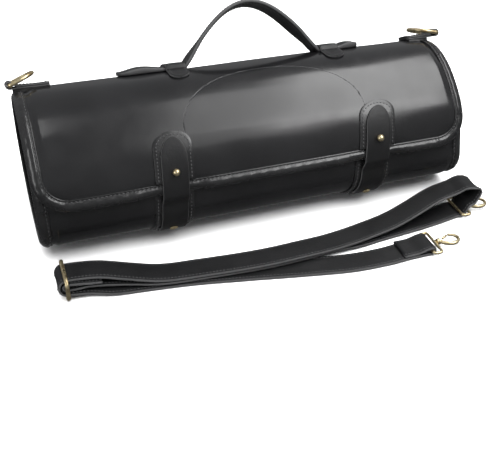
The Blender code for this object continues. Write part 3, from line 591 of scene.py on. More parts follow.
def stitches(name, lines, size, lift=0.0):
    """Short bowed threads of one size (pitch, length, width), one at every pitch along each line of
    points with normals. Each is five rings of six points: radius shrinks as the root of
    1 - 0.8 t t, and height falls as t t."""
    pitch, length, width = size
    t = np.array([-1.0, -0.62, 0.0, 0.62, 1.0])
    around = np.arange(6) * math.pi / 3
    radius = width / 2 * np.sqrt(1 - 0.8 * t ** 2)
    bow = width * (0.34 - 0.75 * t ** 2) + lift
    found, quads, triangles = [], [], []
    one_quads, one_fans = close_loops(5, 6)
    for points, normals in lines:
        steps = np.linalg.norm(np.diff(points, axis=0), axis=1)
        run = np.concatenate([[0], np.cumsum(steps)])
        count = max(1, int(run[-1] / pitch))
        middles = (np.arange(count) + 0.5) * run[-1] / count
        places = middles[:, None] + t * length / 2

        def at(values, where):
            """Values read off at places along the line."""
            return np.stack([np.interp(where, run, values[:, k]) for k in range(3)], -1)

        base, up = at(points, places), at(normals, places)
        ahead = at(points, places + 0.0004) - at(points, places - 0.0004)
        ahead /= np.linalg.norm(ahead, axis=-1, keepdims=True)
        up /= np.linalg.norm(up, axis=-1, keepdims=True)
        side = np.cross(ahead, up)
        base = base + up * bow[:, None]
        ring = (base[:, :, None] + side[:, :, None] * (radius[:, None] * np.cos(around))[..., None]
                + up[:, :, None] * (radius[:, None] * np.sin(around))[..., None])
        body_points = ring.reshape(count, 30, 3)
        tips = np.stack([base[:, 0], base[:, -1]], 1)
        every = np.concatenate([body_points, tips], 1)
        start = sum(len(p) for p in found)
        offset = start + np.arange(count)[:, None, None] * 32
        quads.append((one_quads + offset).reshape(-1, 4))
        triangles.append((one_fans + offset).reshape(-1, 3))
        found.append(every.reshape(-1, 3))
    made = add_piece(name, np.concatenate(found), np.concatenate(quads), np.concatenate(triangles),
                     thread)


def seam_on_roll(x, s, h):
    """A line of points on the roll, with the outward direction at each."""
    points = on_roll(x, s, h)
    return points, on_roll(x, s, h + 0.001) - on_roll(x, s, h)


seam_x = path_x + path_in * binding_stitch_line
seam_s = path_s + path_back * binding_stitch_line
binding_seam = seam_on_roll(seam_x, seam_s, binding_level(seam_x, seam_s) - 0.00015)
inside_points = on_roll(seam_x, seam_s, binding_level(seam_x, seam_s) - sheet_thickness + 0.00015)
stitches("binding_stitching", [binding_seam, (inside_points, -binding_seam[1])], binding_stitch)


# A half oval is stitched on the flap between the two closing straps. It holds a stiffener on
# the inner side and has a fine groove along its thread.

oval_stitch = (0.0032, 0.0024, 0.0007)

arc_turn = np.linspace(math.pi, 0, 160)
arc_x = arc_centre + arc_half_width * np.cos(arc_turn)
arc_s = arc_low - (arc_low - arc_high) * np.sin(arc_turn)
arc_level = pinch(edge_distance(arc_x, girth + arc_s)) + leather_swell(arc_x, girth + arc_s)
stitches("flap_oval_stitching", [seam_on_roll(arc_x, arc_s, arc_level - 0.0001)], oval_stitch)


# Two closing straps hold the roll shut. Each is a strap of satin leather sewn to a band low on
# the body, passed over the flap and an arched patch, and held by a brass ball stud.

strap_width = 0.0270
strap_thickness = 0.0025
strap_tip = 0.076
strap_tip_length = 0.022
strap_tip_sharpness = 1.95
strap_end = 0.190
patch_width = 0.040
patch_thickness = 0.0015
patch_top = 0.070
patch_arch = 0.016
patch_sharpness = 2.2
patch_seam_inset = 0.0032
band_width = 0.040
band_end = 0.197
band_seam_inset = 0.003
strap_base_stitch = (0.0036, 0.0024, 0.0011)
stud_place = 0.110
rivet_place = 0.176
strap_seat = 2 * gap + patch_thickness
closing_straps = {
    "left": {"x": -0.2033 * roll_length, "lean": -0.07},
    "right": {"x": 0.2728 * roll_length, "lean": -0.12},
}

strap_leather, nodes, links, shader, place = leather(
    "strap_leather", (0.0040, 0.0040, 0.0043), (0.0070, 0.0070, 0.0073), (0.34, 0.50), 0.00007, 1100, 0.0)
shader.inputs["Specular IOR Level"].default_value = 0.38
bumped(nodes, links, shader, noise_at(nodes, links, place, 300, 4), 0.00016)
# Painted highlight: the strap colour lightens towards the marked rounded edges, standing in for light
# catching them.
edge_highlight_mark = nodes.new("ShaderNodeAttribute")
edge_highlight_mark.attribute_name = "edge"
painted = two_tone(nodes, links, ranged(nodes, links, edge_highlight_mark.outputs["Fac"], 0.2, 0.9, 0, 1),
                   (0.0048, 0.0048, 0.0051), (0.045, 0.045, 0.046))
links.new(painted, shader.inputs["Base Color"])


def strap_section(half, thickness, edge, crown=0.0):
    """A flat strap's cross-section as a closed loop of 28 places (across, up): two flat faces and
    two rounded edges of radius edge, the upper face crowned by crown times 1 - u u. The third
    value marks the edges, which get a painted highlight: a lighter colour standing in for light on them."""
    half = np.asarray(half, float)[..., None]
    edge = np.minimum(edge, half * 0.9)
    round_turn = np.radians([-90, -60, -30, 0, 30, 60, 90])
    flat = np.array([-0.82, -0.5, -0.18, 0.18, 0.5, 0.82])
    inner = half - edge
    right_x, right_up = inner + edge * np.cos(round_turn), 0 * half + np.sin(round_turn)
    across = np.concatenate([inner * flat, right_x, -inner * flat, -right_x], -1)
    up = np.concatenate([0 * inner * flat - 1, right_up, 0 * inner * flat + 1, -right_up], -1)
    u = across / half
    height = thickness / 2 + up * thickness / 2 + crown * (up > 0) * np.maximum(1 - u ** 2, 0)
    mark = np.concatenate([0 * flat, np.cos(round_turn), 0 * flat, np.cos(round_turn)])
    return across, height, np.broadcast_to(mark, across.shape)


def strap_middle(side, s):
    """The strap's middle leans a little from straight down."""
    return closing_straps[side]["x"] + closing_straps[side]["lean"] * (s - stud_place)


def body_level(s):
    """The flap's level above its edge, and the body's own level below it."""
    return sheet_level(s) * smooth(ramp_start, ramp_start + strap_width / 2, s)


def arched(rows, width, top, length, sharpness):
    """Half of the width, drawn in to a rounded point at the top: (1 - t^p)^(1/p)."""
    into = np.clip(1 - (rows - top) / length, 0, 0.9995)
    return width / 2 * (1 - into ** sharpness) ** (1 / sharpness)


def strip_on_roll(name, node, side, rows, half, low, thickness, edge, finish, crown=0.0):
    """A strap laid down the roll's front: its cross-section carried along its leaning middle line."""
    across, height, mark = strap_section(half, thickness, edge, crown)
    rings = on_roll(strap_middle(side, rows)[:, None] + across, rows[:, None] + 0 * across,
                    low[:, None] + height)
    made = lofted(name, rings, finish, marks={"edge": mark})
    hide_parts(node)


def arch_seam(side, width, top, length, sharpness, inset, last, height):
    """A stitch line that keeps its distance inside an arched strip's edge."""
    angle = np.linspace(0, math.pi / 2, 40)
    rise = length - inset
    s_arch = top + length - rise * np.sin(angle)
    half = (width / 2 - inset) * np.cos(angle) ** (2 / sharpness)
    s_side = np.linspace(last, top + length, 30)
    s = np.concatenate([s_side, s_arch, s_arch[::-1], s_side[::-1]])
    across = np.concatenate([0 * s_side + width / 2 - inset, half, -half[::-1],
                             0 * s_side - width / 2 + inset])
    return seam_on_roll(strap_middle(side, s) + across, s, height)


def tip_rows(first, length, last, count):
    """Rows that crowd together towards a rounded tip."""
    tip = first + length * (1 - np.cos(np.linspace(0, math.pi / 2, 22)))
    return np.concatenate([tip, np.linspace(first + length, last, count)[1:]])


for side in closing_straps:
    rows = tip_rows(patch_top, patch_arch, flap_edge - binding_width - gap, 26)
    half = arched(rows, patch_width, patch_top, patch_arch, patch_sharpness)
    strip_on_roll("strap_patch_leather_" + side, "strap_patch_" + side, side, rows, half, 0 * rows + gap / 2,
                  patch_thickness, 0.0007, trim_leather, 0.0003)
    patch_seam = arch_seam(side, patch_width, patch_top, patch_arch, patch_sharpness,
                           patch_seam_inset, flap_edge - binding_width - 0.002, patch_thickness + gap)

    rows = np.linspace(ramp_start, band_end, 40)
    strip_on_roll("strap_band_leather_" + side, "strap_band_" + side, side, rows, band_width / 2 + 0 * rows,
                  sheet_level(rows) + gap / 2, patch_thickness, 0.0007, trim_leather)
    s = np.linspace(ramp_start + 0.004, band_end - 0.002, 40)
    seams = [seam_on_roll(strap_middle(side, s) + k * (band_width / 2 - band_seam_inset), s,
                          sheet_level(s) + patch_thickness + gap / 2) for k in (-1, 1)]
    stitches("strap_base_stitching_" + side, [patch_seam, *seams], strap_base_stitch)

    rows = tip_rows(strap_tip, strap_tip_length, strap_end, 90)
    half = arched(rows, strap_width, strap_tip, strap_tip_length, strap_tip_sharpness)
    strip_on_roll("closing_strap_leather_" + side, "closing_strap_" + side, side, rows, half,
                  body_level(rows) + strap_seat, strap_thickness, 0.0009, strap_leather)


# The studs and rivets are turned from brass. A stud's ball stands on a thin neck in the strap's
# hole, and a rivet's low dome clamps the strap to its band.

stud_ball_radius = 0.0037
stud_neck_radius = 0.0017
rivet_radius = 0.0042
rivet_height = 0.0020

antique_brass, nodes, links, shader = principled("antique_brass", (0.80, 0.66, 0.40), 0.34, 1.0)
place = nodes.new("ShaderNodeTexCoord").outputs["Object"]
tarnish = ranged(nodes, links, noise_at(nodes, links, place, 160, 5), 0.42, 0.72, 0, 1)
links.new(two_tone(nodes, links, tarnish, (0.88, 0.75, 0.47), (0.52, 0.38, 0.19)),
          shader.inputs["Base Color"])
links.new(ranged(nodes, links, noise_at(nodes, links, place, 420, 3), 0.3, 0.7, 0.26, 0.44),
          shader.inputs["Roughness"])
bumped(nodes, links, shader, noise_at(nodes, links, place, 700, 3), 0.00002)


def turned(name, node, profile, centre, up, body="roll", sides=40):
    """A turned piece: rows of (radius, height) carried round an axis that stands at centre."""
    profile = np.asarray(profile, float)
    up = np.asarray(up, float) / np.linalg.norm(up)
    first = np.cross(up, [0.0, 1.0, 0.3])
    first /= np.linalg.norm(first)
    second = np.cross(up, first)
    a = np.linspace(0, 2 * math.pi, sides, endpoint=False)
    circle = np.cos(a)[:, None] * first + np.sin(a)[:, None] * second
    rings = centre + profile[:, None, 1:2] * up + profile[:, None, 0:1] * circle
    made = lofted(name, rings, antique_brass, body)
    if node:
        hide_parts(node)


def spot_on_roll(x, s):
    """A point of the surface and the outward direction there."""
    point = on_roll(x, s, 0.0)
    return point, (on_roll(x, s, 0.002) - point) / 0.002


for side in closing_straps:
    point, out = spot_on_roll(strap_middle(side, stud_place), stud_place)
    neck_top = strap_seat + strap_thickness + gap
    a = np.radians(np.linspace(-62, 86, 22))
    ball = np.stack([stud_ball_radius * np.cos(a), neck_top + stud_ball_radius * (0.9 + np.sin(a))], 1)
    profile = [(stud_neck_radius, strap_seat), (stud_neck_radius, neck_top - 0.0003),
               (stud_ball_radius * 0.62, neck_top - 0.0001), *ball]
    turned("ball_stud_" + side, "stud_" + side, profile, point, out)

    point, out = spot_on_roll(strap_middle(side, rivet_place), rivet_place)
    seat = float(sheet_level(rivet_place)) + strap_seat + strap_thickness + gap / 2
    a = np.linspace(0, math.pi / 2, 12)
    dome = np.stack([rivet_radius * np.cos(a) ** 0.8, seat + 0.0004 + (rivet_height - 0.0004) * np.sin(a)], 1)
    turned("strap_rivet_" + side, "rivet_" + side, [(rivet_radius * 0.96, seat), *dome], point, out)


# The handle is a flat strap of two leathers, stitched along both edges. It arches between its
# keepers, and its rounded ends run on past them along the roll.

handle_line = -0.030
handle_centre = 0.022
handle_width = 0.025
handle_thickness = 0.0038
handle_rise = 0.057
handle_roundness = 1.08
handle_twist = math.radians(-10)
keeper_distance = 0.086
keeper_width = 0.021
keeper_reach = 0.037
keeper_thickness = 0.0024
paddle_left = 0.146
paddle_right = 0.124
paddle_bow = 0.003
handle_half_span = keeper_distance - keeper_width / 2 - 4 * gap
keeper_outer = keeper_distance + keeper_width / 2 + gap
line_up = np.array([0.0, 0.376681, 0.926343])
handle_seam_inset = 0.0030
handle_stitch = (0.0034, 0.0024, 0.0009)


def over_line(x, v, h, line, flatness):
    """A point v to the side of a line along the roll and h above it: wrapped on the roll where
    flatness is 0, level and square to line_up where it is 1, and eased between."""
    on_line = on_roll(x, line + 0 * np.asarray(x), 0.0)
    across = np.cross(line_up, [1.0, 0.0, 0.0]) * -1
    level = on_line + across * np.asarray(v)[..., None] + line_up * np.asarray(h)[..., None]
    lying = on_roll(x, line + np.asarray(v), h)
    weight = np.asarray(flatness, float)[..., None]
    return lying * (1 - weight) + level * weight


def handle_height(x):
    """The underside: a power of a cosine between the keepers, a low bow past them."""
    u = np.abs(x - handle_centre)
    rise = handle_rise * np.cos(np.clip(u / handle_half_span, 0, 1) * math.pi / 2) ** handle_roundness
    end = np.where(x < handle_centre, paddle_left, paddle_right)
    past = np.clip((u - keeper_outer) / (end - keeper_outer), 0, 1)
    return gap + rise + paddle_bow * np.sin(math.pi * past) ** 2


tip = handle_width / 2
left, right = handle_centre - paddle_left, handle_centre + paddle_right
tip_steps = tip * (1 - np.cos(np.linspace(0, math.pi / 2, 16)))
arch_steps = np.sin(np.linspace(-math.pi / 2, math.pi / 2, 90))
handle_x = np.concatenate([left + tip_steps,
                           np.linspace(left + tip, handle_centre - keeper_outer, 16)[1:],
                           handle_centre + handle_half_span * arch_steps,
                           np.linspace(handle_centre + keeper_outer, right - tip, 12),
                           right - tip_steps[-2::-1]])
into = np.clip(1 - np.minimum(handle_x - left, right - handle_x) / tip, 0, 0.9995)
handle_half = handle_width / 2 * np.sqrt(1 - into ** 2)
handle_low = handle_height(handle_x)
handle_slope = np.gradient(handle_low, handle_x)
lean = np.stack([-handle_slope, np.ones_like(handle_slope)], 1) / np.sqrt(1 + handle_slope ** 2)[:, None]
past_keeper = np.abs(handle_x - handle_centre) > keeper_outer
flatness = smooth(handle_thickness * 0.53, handle_thickness * 2.63, handle_low) * ~past_keeper
handle_across, handle_up, handle_edge_highlight = strap_section(handle_half, handle_thickness, 0.0011, 0.0004)
padding = np.where(past_keeper, handle_low - gap, 0)[:, None]
handle_up = handle_up - padding * (1 - np.clip(handle_up / handle_thickness, 0, 1))
handle_turn = handle_twist * smooth(0.1, 0.5, handle_low / handle_rise)
handle_out = handle_up - handle_across * np.sin(handle_turn)[:, None]
handle_rings = over_line(handle_x[:, None] + lean[:, :1] * handle_out,
                         handle_across * np.cos(handle_turn)[:, None],
                         handle_low[:, None] + lean[:, 1:] * handle_out, handle_line,
                         flatness[:, None] + 0 * handle_up)
handle = lofted("handle_leather", handle_rings, strap_leather, marks={"edge": handle_edge_highlight})
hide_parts("handle")


def handle_seam(edge_side, top):
    """A stitch line just inside one edge of the handle, on its upper or lower face."""
    keep = handle_half > 0.006
    x, tilt, flat, turned_by = handle_x[keep], lean[keep], flatness[keep], handle_turn[keep]
    v = edge_side * (handle_half[keep] - handle_seam_inset)
    low = handle_low[keep]
    up = (handle_thickness + 0.0001 if top else -0.0001 - padding[keep, 0]) - v * np.sin(turned_by)
    v = v * np.cos(turned_by)
    spot = over_line(x + tilt[:, 0] * up, v, low + tilt[:, 1] * up, handle_line, flat)
    past = up + (0.001 if top else -0.001)
    further = over_line(x + tilt[:, 0] * past, v, low + tilt[:, 1] * past, handle_line, flat)
    return spot, further - spot


stitches("handle_stitching", [handle_seam(1, True), handle_seam(-1, True), handle_seam(1, False),
                              handle_seam(-1, False)], handle_stitch)


# Two keepers hold the handle down. Each is a short leather band with rounded ends, stitched to
# the roll in front of the handle and behind it.

over_strap = handle_width / 2 + 2 * gap
keeper_foot = over_strap + keeper_thickness * 1.4
keeper_sharpness = 2.6
keeper_seam_inset = 0.0026
keeper_stitch = (0.0032, 0.0022, 0.0008)


def keeper_level(off):
    """The band lies on the roll and steps up over the handle."""
    return gap / 2 + (handle_thickness + 2 * gap) * (1 - smooth(over_strap, keeper_foot, np.abs(off)))


for side, x in (("left", handle_centre - keeper_distance), ("right", handle_centre + keeper_distance)):
    nose = keeper_width / 2
    steps = nose * (1 - np.cos(np.linspace(0, math.pi / 2, 14)))
    off = np.concatenate([-keeper_reach + steps,
                          np.linspace(nose - keeper_reach, keeper_reach - nose, 70)[1:-1],
                          keeper_reach - steps[::-1]])
    into = np.clip(1 - (keeper_reach - np.abs(off)) / nose, 0, 0.9995)
    keeper_half = keeper_width / 2 * (1 - into ** keeper_sharpness) ** (1 / keeper_sharpness)
    across, up, mark = strap_section(keeper_half, keeper_thickness, 0.0009, 0.0002)
    rings = on_roll(x + across, handle_line + off[:, None] + 0 * across, keeper_level(off)[:, None] + up)
    keeper = lofted("handle_keeper_leather_" + side, rings, strap_leather, marks={"edge": mark})
    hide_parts("handle_keeper_" + side)
    lines = []
    for end in (-1, 1):
        angle = np.linspace(-math.pi / 2, math.pi / 2, 40)
        power, round_by = 2 / keeper_sharpness, nose - keeper_seam_inset
        reach = np.sign(np.cos(angle)) * np.abs(np.cos(angle)) ** power * round_by
        wide = np.sign(np.sin(angle)) * np.abs(np.sin(angle)) ** power * round_by
        v = end * (keeper_reach - nose + reach)
        v = np.concatenate([[end * (keeper_foot + 0.001)], v, [end * (keeper_foot + 0.001)]])
        wide = np.concatenate([[wide[0]], wide, [wide[-1]]])
        lines.append(seam_on_roll(x + wide, handle_line + v, gap / 2 + keeper_thickness + 0.0001))
    stitches("keeper_stitching_" + side, lines, keeper_stitch)


# At each end a strip of leather is folded round a brass D-ring's bar and stitched flat on top of
# the roll. The ring swings on its bar.

ring_line = -0.031
ring_wire = 0.0021
ring_inner_width = 0.029
ring_depth = 0.026
tab_width = 0.026
tab_leather = 0.0019
tab_bottom = 2 * gap
ring_bar_height = tab_bottom + tab_leather + gap + ring_wire
fold = ring_wire + gap
tab_closing = 3.2 * fold
tab_flat_share = 0.178
tab_seam_inset = 0.0028
tab_stitch = (0.0033, 0.0023, 0.0008)
backing_margin = 0.0004
backing_end_margin = 0.0012
ring_tabs = {"left": {"outward": -1, "past_end": 0.0015, "raised": 21, "length": 0.039},
             "right": {"outward": 1, "past_end": 0.0095, "raised": 14, "length": 0.034}}


def wire(name, node, path, radius, body="roll", closed_on_itself=True, sides=20, taper=None):
    """Round wire: a circle carried along a flat path, square to it."""
    path = np.asarray(path, float)
    ahead = np.roll(path, -1, 0) - np.roll(path, 1, 0) if closed_on_itself else np.gradient(path, axis=0)
    ahead /= np.linalg.norm(ahead, axis=1)[:, None]
    normal = np.linalg.svd(path - path.mean(0))[2][2]
    side = np.cross(ahead, normal)
    side /= np.linalg.norm(side, axis=1)[:, None]
    up = np.cross(side, ahead)
    a = np.linspace(0, 2 * math.pi, sides, endpoint=False)
    wide = radius * (np.ones(len(path)) if taper is None else np.asarray(taper))
    circles = np.cos(a)[:, None] * side[:, None] + np.sin(a)[:, None] * up[:, None]
    made = lofted(name, path[:, None] + wide[:, None, None] * circles, antique_brass, body, closed_on_itself)
    if node:
        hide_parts(node)


def d_outline():
    """Half ellipse, two short arms, and a straight bar with small round corners, one after another."""
    half = ring_inner_width / 2 + ring_wire
    arm = ring_depth - half * 0.92
    corner = ring_wire * 1.3
    bow = np.radians(np.linspace(0, 180, 50))
    bend = np.radians(np.linspace(180, 270, 8))
    a = np.concatenate([half * np.cos(bow), -half + corner + corner * np.cos(bend),
                        np.linspace(-half + corner, half - corner, 16)[1:-1],
                        half - corner - corner * np.cos(bend[::-1])])
    b = np.concatenate([arm + (ring_depth - arm) * np.sin(bow), corner + corner * np.sin(bend),
                        np.zeros(14), corner + corner * np.sin(bend[::-1])])
    return a, b


for side, row in ring_tabs.items():
    outward = row["outward"]
    bar_x = end_length + row["past_end"]
    inner_end = bar_x - row["length"]
    flat_end = inner_end + row["length"] * tab_flat_share
    close = bar_x - tab_closing
    bar_up = ring_bar_height - tab_bottom
    around = fold + tab_leather / 2
    u = np.linspace(0, 1, 26)
    turn = np.radians(np.linspace(-90, 90, 26))
    fold_x = np.concatenate([inner_end + (bar_x - inner_end) * u[:-1], bar_x + around * np.cos(turn),
                             (bar_x + (close - bar_x) * u)[1:], (close + (inner_end - close) * u)[1:]])
    drop = 1.5 * tab_leather + (bar_up + around - 1.5 * tab_leather) * (1 - smooth(0, 1, u))
    fold_h = np.concatenate([tab_leather / 2 + 0 * u[:-1], bar_up + around * np.sin(turn), drop[1:],
                             1.5 * tab_leather + 0 * u[1:]])
    way = np.stack([np.gradient(fold_x), np.gradient(fold_h)], 1)
    way /= np.linalg.norm(way, axis=1)[:, None]
    across, up, mark = strap_section(tab_width / 2 + 0 * fold_x, tab_leather * 0.96, 0.0007)
    up = up - tab_leather * 0.48
    spot_x = fold_x[:, None] - way[:, 1:] * up
    spot_h = fold_h[:, None] + way[:, :1] * up + tab_bottom
    flat = smooth(flat_end + tab_leather, close, spot_x)
    rings = over_line(outward * spot_x, across, spot_h, ring_line, flat)
    tab = lofted("ring_tab_leather_" + side, rings, strap_leather, marks={"edge": mark})
    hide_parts("ring_tab_" + side)

    pad_u, pad_v = np.meshgrid(np.linspace(inner_end + backing_margin, end_length - backing_end_margin, 24),
                               np.linspace(-0.49, 0.49, 12) * tab_width, indexing="ij")
    pad_top = on_roll(outward * pad_u, ring_line + pad_v, tab_bottom + 0.0001)
    pad_low = on_roll(outward * pad_u, ring_line + pad_v, -0.0012 + binding_level(pad_u, 0.0))
    pad = thick_sheet("ring_tab_backing_" + side, pad_top, pad_low, strap_leather)

    off_middle = tab_width / 2 - tab_seam_inset
    seam_start, seam_turn = close - 0.002, inner_end + 0.003
    seam_xs = np.concatenate([np.linspace(seam_start, seam_turn, 30), np.full(18, seam_turn),
                              np.linspace(seam_turn, seam_start, 30)])
    seam_v = np.concatenate([np.full(30, off_middle), np.linspace(off_middle, -off_middle, 18),
                             np.full(30, -off_middle)])
    seam_h = np.full(seam_v.shape, tab_bottom + 2 * tab_leather)
    seam_flat = smooth(flat_end + tab_leather, close, seam_xs)
    low = over_line(outward * seam_xs, seam_v, seam_h, ring_line, seam_flat)
    high = over_line(outward * seam_xs, seam_v, seam_h + 0.001, ring_line, seam_flat)
    stitches("tab_stitching_" + side, [(low, high - low)], tab_stitch)

    tilt = math.radians(row["raised"])
    point, out = spot_on_roll(outward * bar_x, ring_line)
    centre = point + line_up * ring_bar_height
    along = np.array([1.0, 0.0, 0.0])
    inboard = -outward * along * math.cos(tilt) + line_up * math.sin(tilt)
    sideways = np.cross(line_up, along) * -1
    a, b = d_outline()
    wire("d_ring_brass_" + side, "d_ring_" + side, centre + a[:, None] * sideways + b[:, None] * inboard,
         ring_wire, "ring_" + side)


# The shoulder strap is one long strip of the same satin leather, stitched along both edges. It
# lies in three strands: from the slide to a clip and back, round the slide, and on to the other clip.

sling_width = 0.028
sling_thickness = 0.0028
sling_seam_inset = 0.0031
sling_stitch = (0.0034, 0.0025, 0.0009)
sling_route_mm = np.array([
    (-182.4, -123.7, 11.7), (-193.6, -123.7, 13.0), (-203.4, -123.7, 14.6), (-214.9, -123.7, 16.0),
    (-216.4, -123.7, 16.1), (-217.9, -123.7, 15.6), (-218.9, -123.7, 14.4), (-219.3, -123.7, 12.8),
    (-218.9, -123.7, 11.3), (-217.9, -123.7, 10.1), (-216.4, -123.7, 9.6), (-214.9, -123.7, 9.7),
    (-203.4, -123.7, 9.6), (-197.8, -122.6, 9.2), (-179.4, -124.2, 7.7), (-156.4, -128.7, 6.3),
    (-126.5, -136.6, 5.3), (-82.8, -141.0, 5.0), (-23.0, -144.4, 4.9), (18.4, -143.0, 4.9),
    (55.2, -140.5, 4.8), (80.5, -138.0, 2.5), (105.8, -134.3, 1.8), (156.4, -128.7, 1.8),
    (188.6, -123.4, 1.8), (201.0, -120.9, 2.0), (207.6, -120.9, 1.9), (212.2, -120.4, 4.9),
    (216.2, -119.0, 9.7), (222.2, -118.1, 11.4), (228.2, -116.3, 16.5), (231.8, -114.0, 21.8),
    (227.2, -112.1, 26.4), (218.0, -109.8, 27.3), (207.0, -109.7, 23.6), (184.0, -111.9, 19.9),
    (151.8, -120.9, 14.0), (126.5, -127.6, 10.0), (96.6, -133.8, 8.3), (55.2, -141.6, 8.2),
    (18.4, -143.8, 8.2), (-23.0, -145.0, 8.2), (-82.8, -141.0, 8.2), (-126.5, -136.6, 8.9),
    (-156.4, -128.2, 12.1), (-184.0, -121.4, 16.2), (-216.0, -121.7, 19.7), (-218.1, -122.1, 19.4),
    (-220.0, -122.5, 18.4), (-221.5, -122.9, 16.9), (-222.5, -123.3, 15.0), (-222.8, -123.7, 12.8),
    (-222.5, -124.1, 10.7), (-221.5, -124.5, 8.8), (-220.0, -124.9, 7.3), (-218.1, -125.3, 6.3),
    (-216.0, -125.7, 6.0), (-193.2, -127.6, 3.9), (-170.2, -133.8, 2.2), (-142.6, -136.6, 1.7),
    (-96.6, -142.2, 1.6), (-41.4, -152.8, 1.6), (18.4, -165.1, 1.6), (59.8, -172.4, 1.6),
    (96.6, -173.8, 1.6), (119.6, -172.4, 1.9), (144.9, -171.8, 1.7), (146.5, -171.8, 2.1),
    (147.7, -171.8, 3.3), (148.1, -171.8, 4.9), (147.7, -171.8, 6.5), (146.5, -171.8, 7.7),
    (144.9, -171.8, 8.1), (137.9, -171.8, 7.5), (129.5, -171.8, 5.0), (114.1, -171.8, 4.7)])


def through(points, spacing):
    """A smooth curve through the points: cubic pieces whose slopes come from the neighbours, with
    knots at the square root of each step."""
    steps = np.linalg.norm(np.diff(points, axis=0), axis=1)
    knots = np.concatenate([[0], np.cumsum(np.sqrt(steps))])
    p = np.concatenate([points[:1], points, points[-1:]])
    t = np.concatenate([[-1], knots, [knots[-1] + 1]])[:, None]
    count = np.maximum(2, np.round(steps / spacing).astype(int))
    i = np.repeat(np.arange(len(steps)), count)
    u = ((np.arange(len(i)) - np.repeat(np.cumsum(count) - count, count)) / count[i])[:, None]
    step = t[i + 2] - t[i + 1]
    middle = (p[i + 2] - p[i + 1]) / step
    before, after = t[i + 1] - t[i], t[i + 3] - t[i + 2]
    leaving = (p[i + 1] - p[i]) / before - (p[i + 2] - p[i]) / (before + step) + middle
    arriving = middle - (p[i + 3] - p[i + 1]) / (step + after) + (p[i + 3] - p[i + 2]) / after
    curve = (p[i + 1] * (2 * u ** 3 - 3 * u ** 2 + 1) + leaving * step * (u ** 3 - 2 * u ** 2 + u)
             + p[i + 2] * (3 * u ** 2 - 2 * u ** 3) + arriving * step * (u ** 3 - u ** 2))
    return np.concatenate([curve, points[-1:]])


sling_line = through(sling_route_mm / 1000, 0.004)
ahead = np.gradient(sling_line, axis=0)
ahead /= np.linalg.norm(ahead, axis=1)[:, None]
sling_side = np.array([0.0, -1.0, 0.0]) + ahead * ahead[:, 1:2]
sling_side /= np.linalg.norm(sling_side, axis=1)[:, None]
sling_up = np.cross(sling_side, ahead)
across, up, mark = strap_section(sling_width / 2 + 0 * ahead[:, 0], sling_thickness, 0.0010)
sling_rings = (sling_line[:, None] + sling_side[:, None] * across[..., None]
               + sling_up[:, None] * (up - sling_thickness / 2)[..., None])
shoulder_strap = lofted("shoulder_strap_leather", sling_rings, strap_leather, marks={"edge": mark})
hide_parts("shoulder_strap")
sling_seams = []
for edge_side in (-1, 1):
    for face in (-1, 1):
        line = (sling_line + sling_side * edge_side * (sling_width / 2 - sling_seam_inset)
                + sling_up * face * sling_thickness / 2)
        sling_seams.append((line, sling_up * face))
stitches("shoulder_strap_stitching", sling_seams, sling_stitch, lift=-0.00005)


# The slide is an upright brass frame with a bar across its middle. The strap's end is sewn back
# round the bar, and the strap runs through the frame once more.

slide_wire = 0.0020
slide_bar_radius = 0.0016
slide_inner_width = 0.036
slide_place = 0.014 - end_length
slide_y = -half_depth - 1.16 * sling_width
slide_bar_height = 0.01285
slide_high = 0.0197


def rounded_frame(half_a, half_b, radius, per_corner=9):
    """Places round a rectangle with round corners."""
    quarter = np.arange(4)[:, None]
    angle = np.radians(90 * quarter + np.linspace(0, 90, per_corner)[None, :])
    sign_a = np.array([1, -1, -1, 1])[:, None]
    sign_b = np.array([1, 1, -1, -1])[:, None]
    a = sign_a * (half_a - radius) + radius * np.cos(angle)
    b = sign_b * (half_b - radius) + radius * np.sin(angle)
    return np.stack([a.ravel(), b.ravel()], 1)


def evenly(path, spacing):
    """A closed path with places at even steps along it."""
    closed = np.concatenate([path, path[:1]])
    run = np.concatenate([[0], np.cumsum(np.linalg.norm(np.diff(closed, axis=0), axis=1))])
    places = np.linspace(0, run[-1], max(12, round(run[-1] / spacing)), endpoint=False)
    return np.stack([np.interp(places, run, closed[:, k]) for k in range(closed.shape[1])], 1)


slide_top = slide_high + sling_thickness / 2 + 2 * gap + slide_wire
slide_middle = (slide_top + slide_wire) / 2
half_y = slide_inner_width / 2 + slide_wire
frame_path = evenly(rounded_frame(half_y, (slide_top - slide_wire) / 2, slide_wire * 3), 0.0015)
slide_path = np.stack([slide_place + 0 * frame_path[:, 0], slide_y + frame_path[:, 0],
                       slide_middle + frame_path[:, 1]], 1)
wire("slide_frame_brass", "strap_slide", slide_path, slide_wire)
bar_y = slide_y + half_y * np.linspace(-1, 1, 12)
wire("slide_bar_brass", None, np.stack([slide_place + 0 * bar_y, bar_y, slide_bar_height + 0 * bar_y], 1),
     slide_bar_radius, closed_on_itself=False)


# Each clip is cast brass: a flat loop for the strap, a swivel barrel on its post, a hook of round
# wire that narrows to its nose, and a sprung gate that closes the hook.

clip_bar_radius = 0.0015
clip_loop_width = 0.032
clip_loop_depth = 0.0092
clip_barrel_radius = 0.0034
clip_barrel_length = 0.0050
clip_post_radius = 0.0012
hook_wire = 0.0018
hook_length = 0.022
hook_width = 0.0155
clip_level = 0.0049
clips = {"a": (0.900 * end_length, -half_depth - 1.06 * sling_width),
         "b": (0.630 * end_length, -half_depth - 2.88 * sling_width)}
hook_shape = np.array([(0.02, 0.0), (0.12, -0.42), (0.30, -0.80), (0.50, -0.98), (0.72, -0.90), (0.90, -0.50),
                       (0.96, 0.0), (0.90, 0.50), (0.74, 0.88), (0.60, 0.97)]) * (hook_length, hook_width / 2)

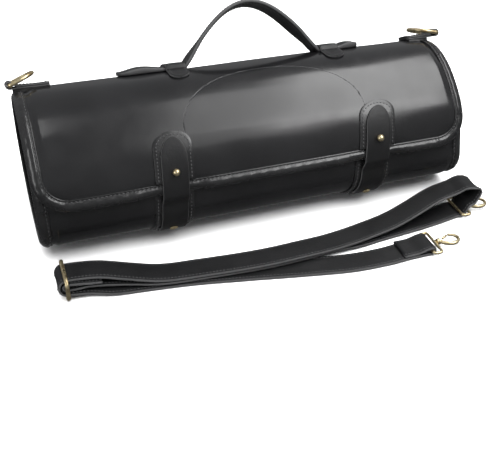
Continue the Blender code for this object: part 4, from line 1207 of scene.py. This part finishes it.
for tag, (x, y) in clips.items():
    centre = np.array([x, y, clip_level])
    loop = evenly(rounded_frame(clip_loop_depth / 2, clip_loop_width / 2 + clip_bar_radius,
                                clip_bar_radius * 1.73), 0.0012)
    loop_path = centre + np.stack([clip_loop_depth / 2 + loop[:, 0], loop[:, 1], 0 * loop[:, 0]], 1)
    wire("clip_loop_brass_" + tag, "clip_loop_" + tag, loop_path, clip_bar_radius)
    barrel_start = clip_loop_depth + clip_bar_radius + gap
    barrel_end = barrel_start + clip_barrel_length
    r = clip_barrel_radius
    turned("clip_post_brass_" + tag, None,
           [(clip_post_radius * 1.5, clip_loop_depth), (clip_post_radius, clip_loop_depth + 0.0012),
            (clip_post_radius, barrel_end - clip_barrel_length * 0.3)], centre, (1, 0, 0), sides=20)
    turned("clip_barrel_brass_" + tag, None,
           [(r * 0.62, barrel_start), (r * 0.86, barrel_start + 0.0001), (r, barrel_start + 0.0007),
            (r, barrel_start + 0.0017), (r * 0.9, barrel_start + 0.0020), (r, barrel_start + 0.0023),
            (r, barrel_end - 0.0010), (r * 0.86, barrel_end - 0.0003), (r * 0.62, barrel_end)],
           centre, (1, 0, 0), body="hook_" + tag)
    flat_hook = through(np.concatenate([hook_shape, np.zeros((len(hook_shape), 1))], 1), 0.0007)
    hook_path = centre + (barrel_end - hook_wire * 0.6, 0, 0) + flat_hook
    share = np.linspace(0, 1, len(hook_path))
    wire("clip_hook_brass_" + tag, "clip_hook_" + tag, hook_path, hook_wire, "hook_" + tag, False,
         taper=1.08 - 0.25 * share ** 2 - 0.35 * smooth(0.97, 1.0, share))
    nose = np.array([hook_length * 0.60 - hook_wire * 0.6, hook_width / 2 * 0.97])
    neck = np.array([hook_length * 0.10, hook_width / 2 * 0.30])
    way = (nose - neck) / np.linalg.norm(nose - neck)
    start = neck + way * hook_wire * 0.9
    stop = nose - way * (hook_wire * 0.6 + gap * 2)
    ends = [np.array([barrel_end + p[0], p[1], 0.0]) for p in (start, stop)]
    length = np.linalg.norm(ends[1] - ends[0])
    g = hook_wire * 0.72
    turned("clip_gate_brass_" + tag, "clip_gate_" + tag,
           [(g * 0.6, 0.0), (g, 0.0004), (g, length * 0.3), (g * 0.85, length * 0.36), (g, length * 0.42),
            (g, length - 0.0005), (g * 0.6, length)], centre + ends[0], ends[1] - ends[0],
           body="gate_" + tag, sides=20)
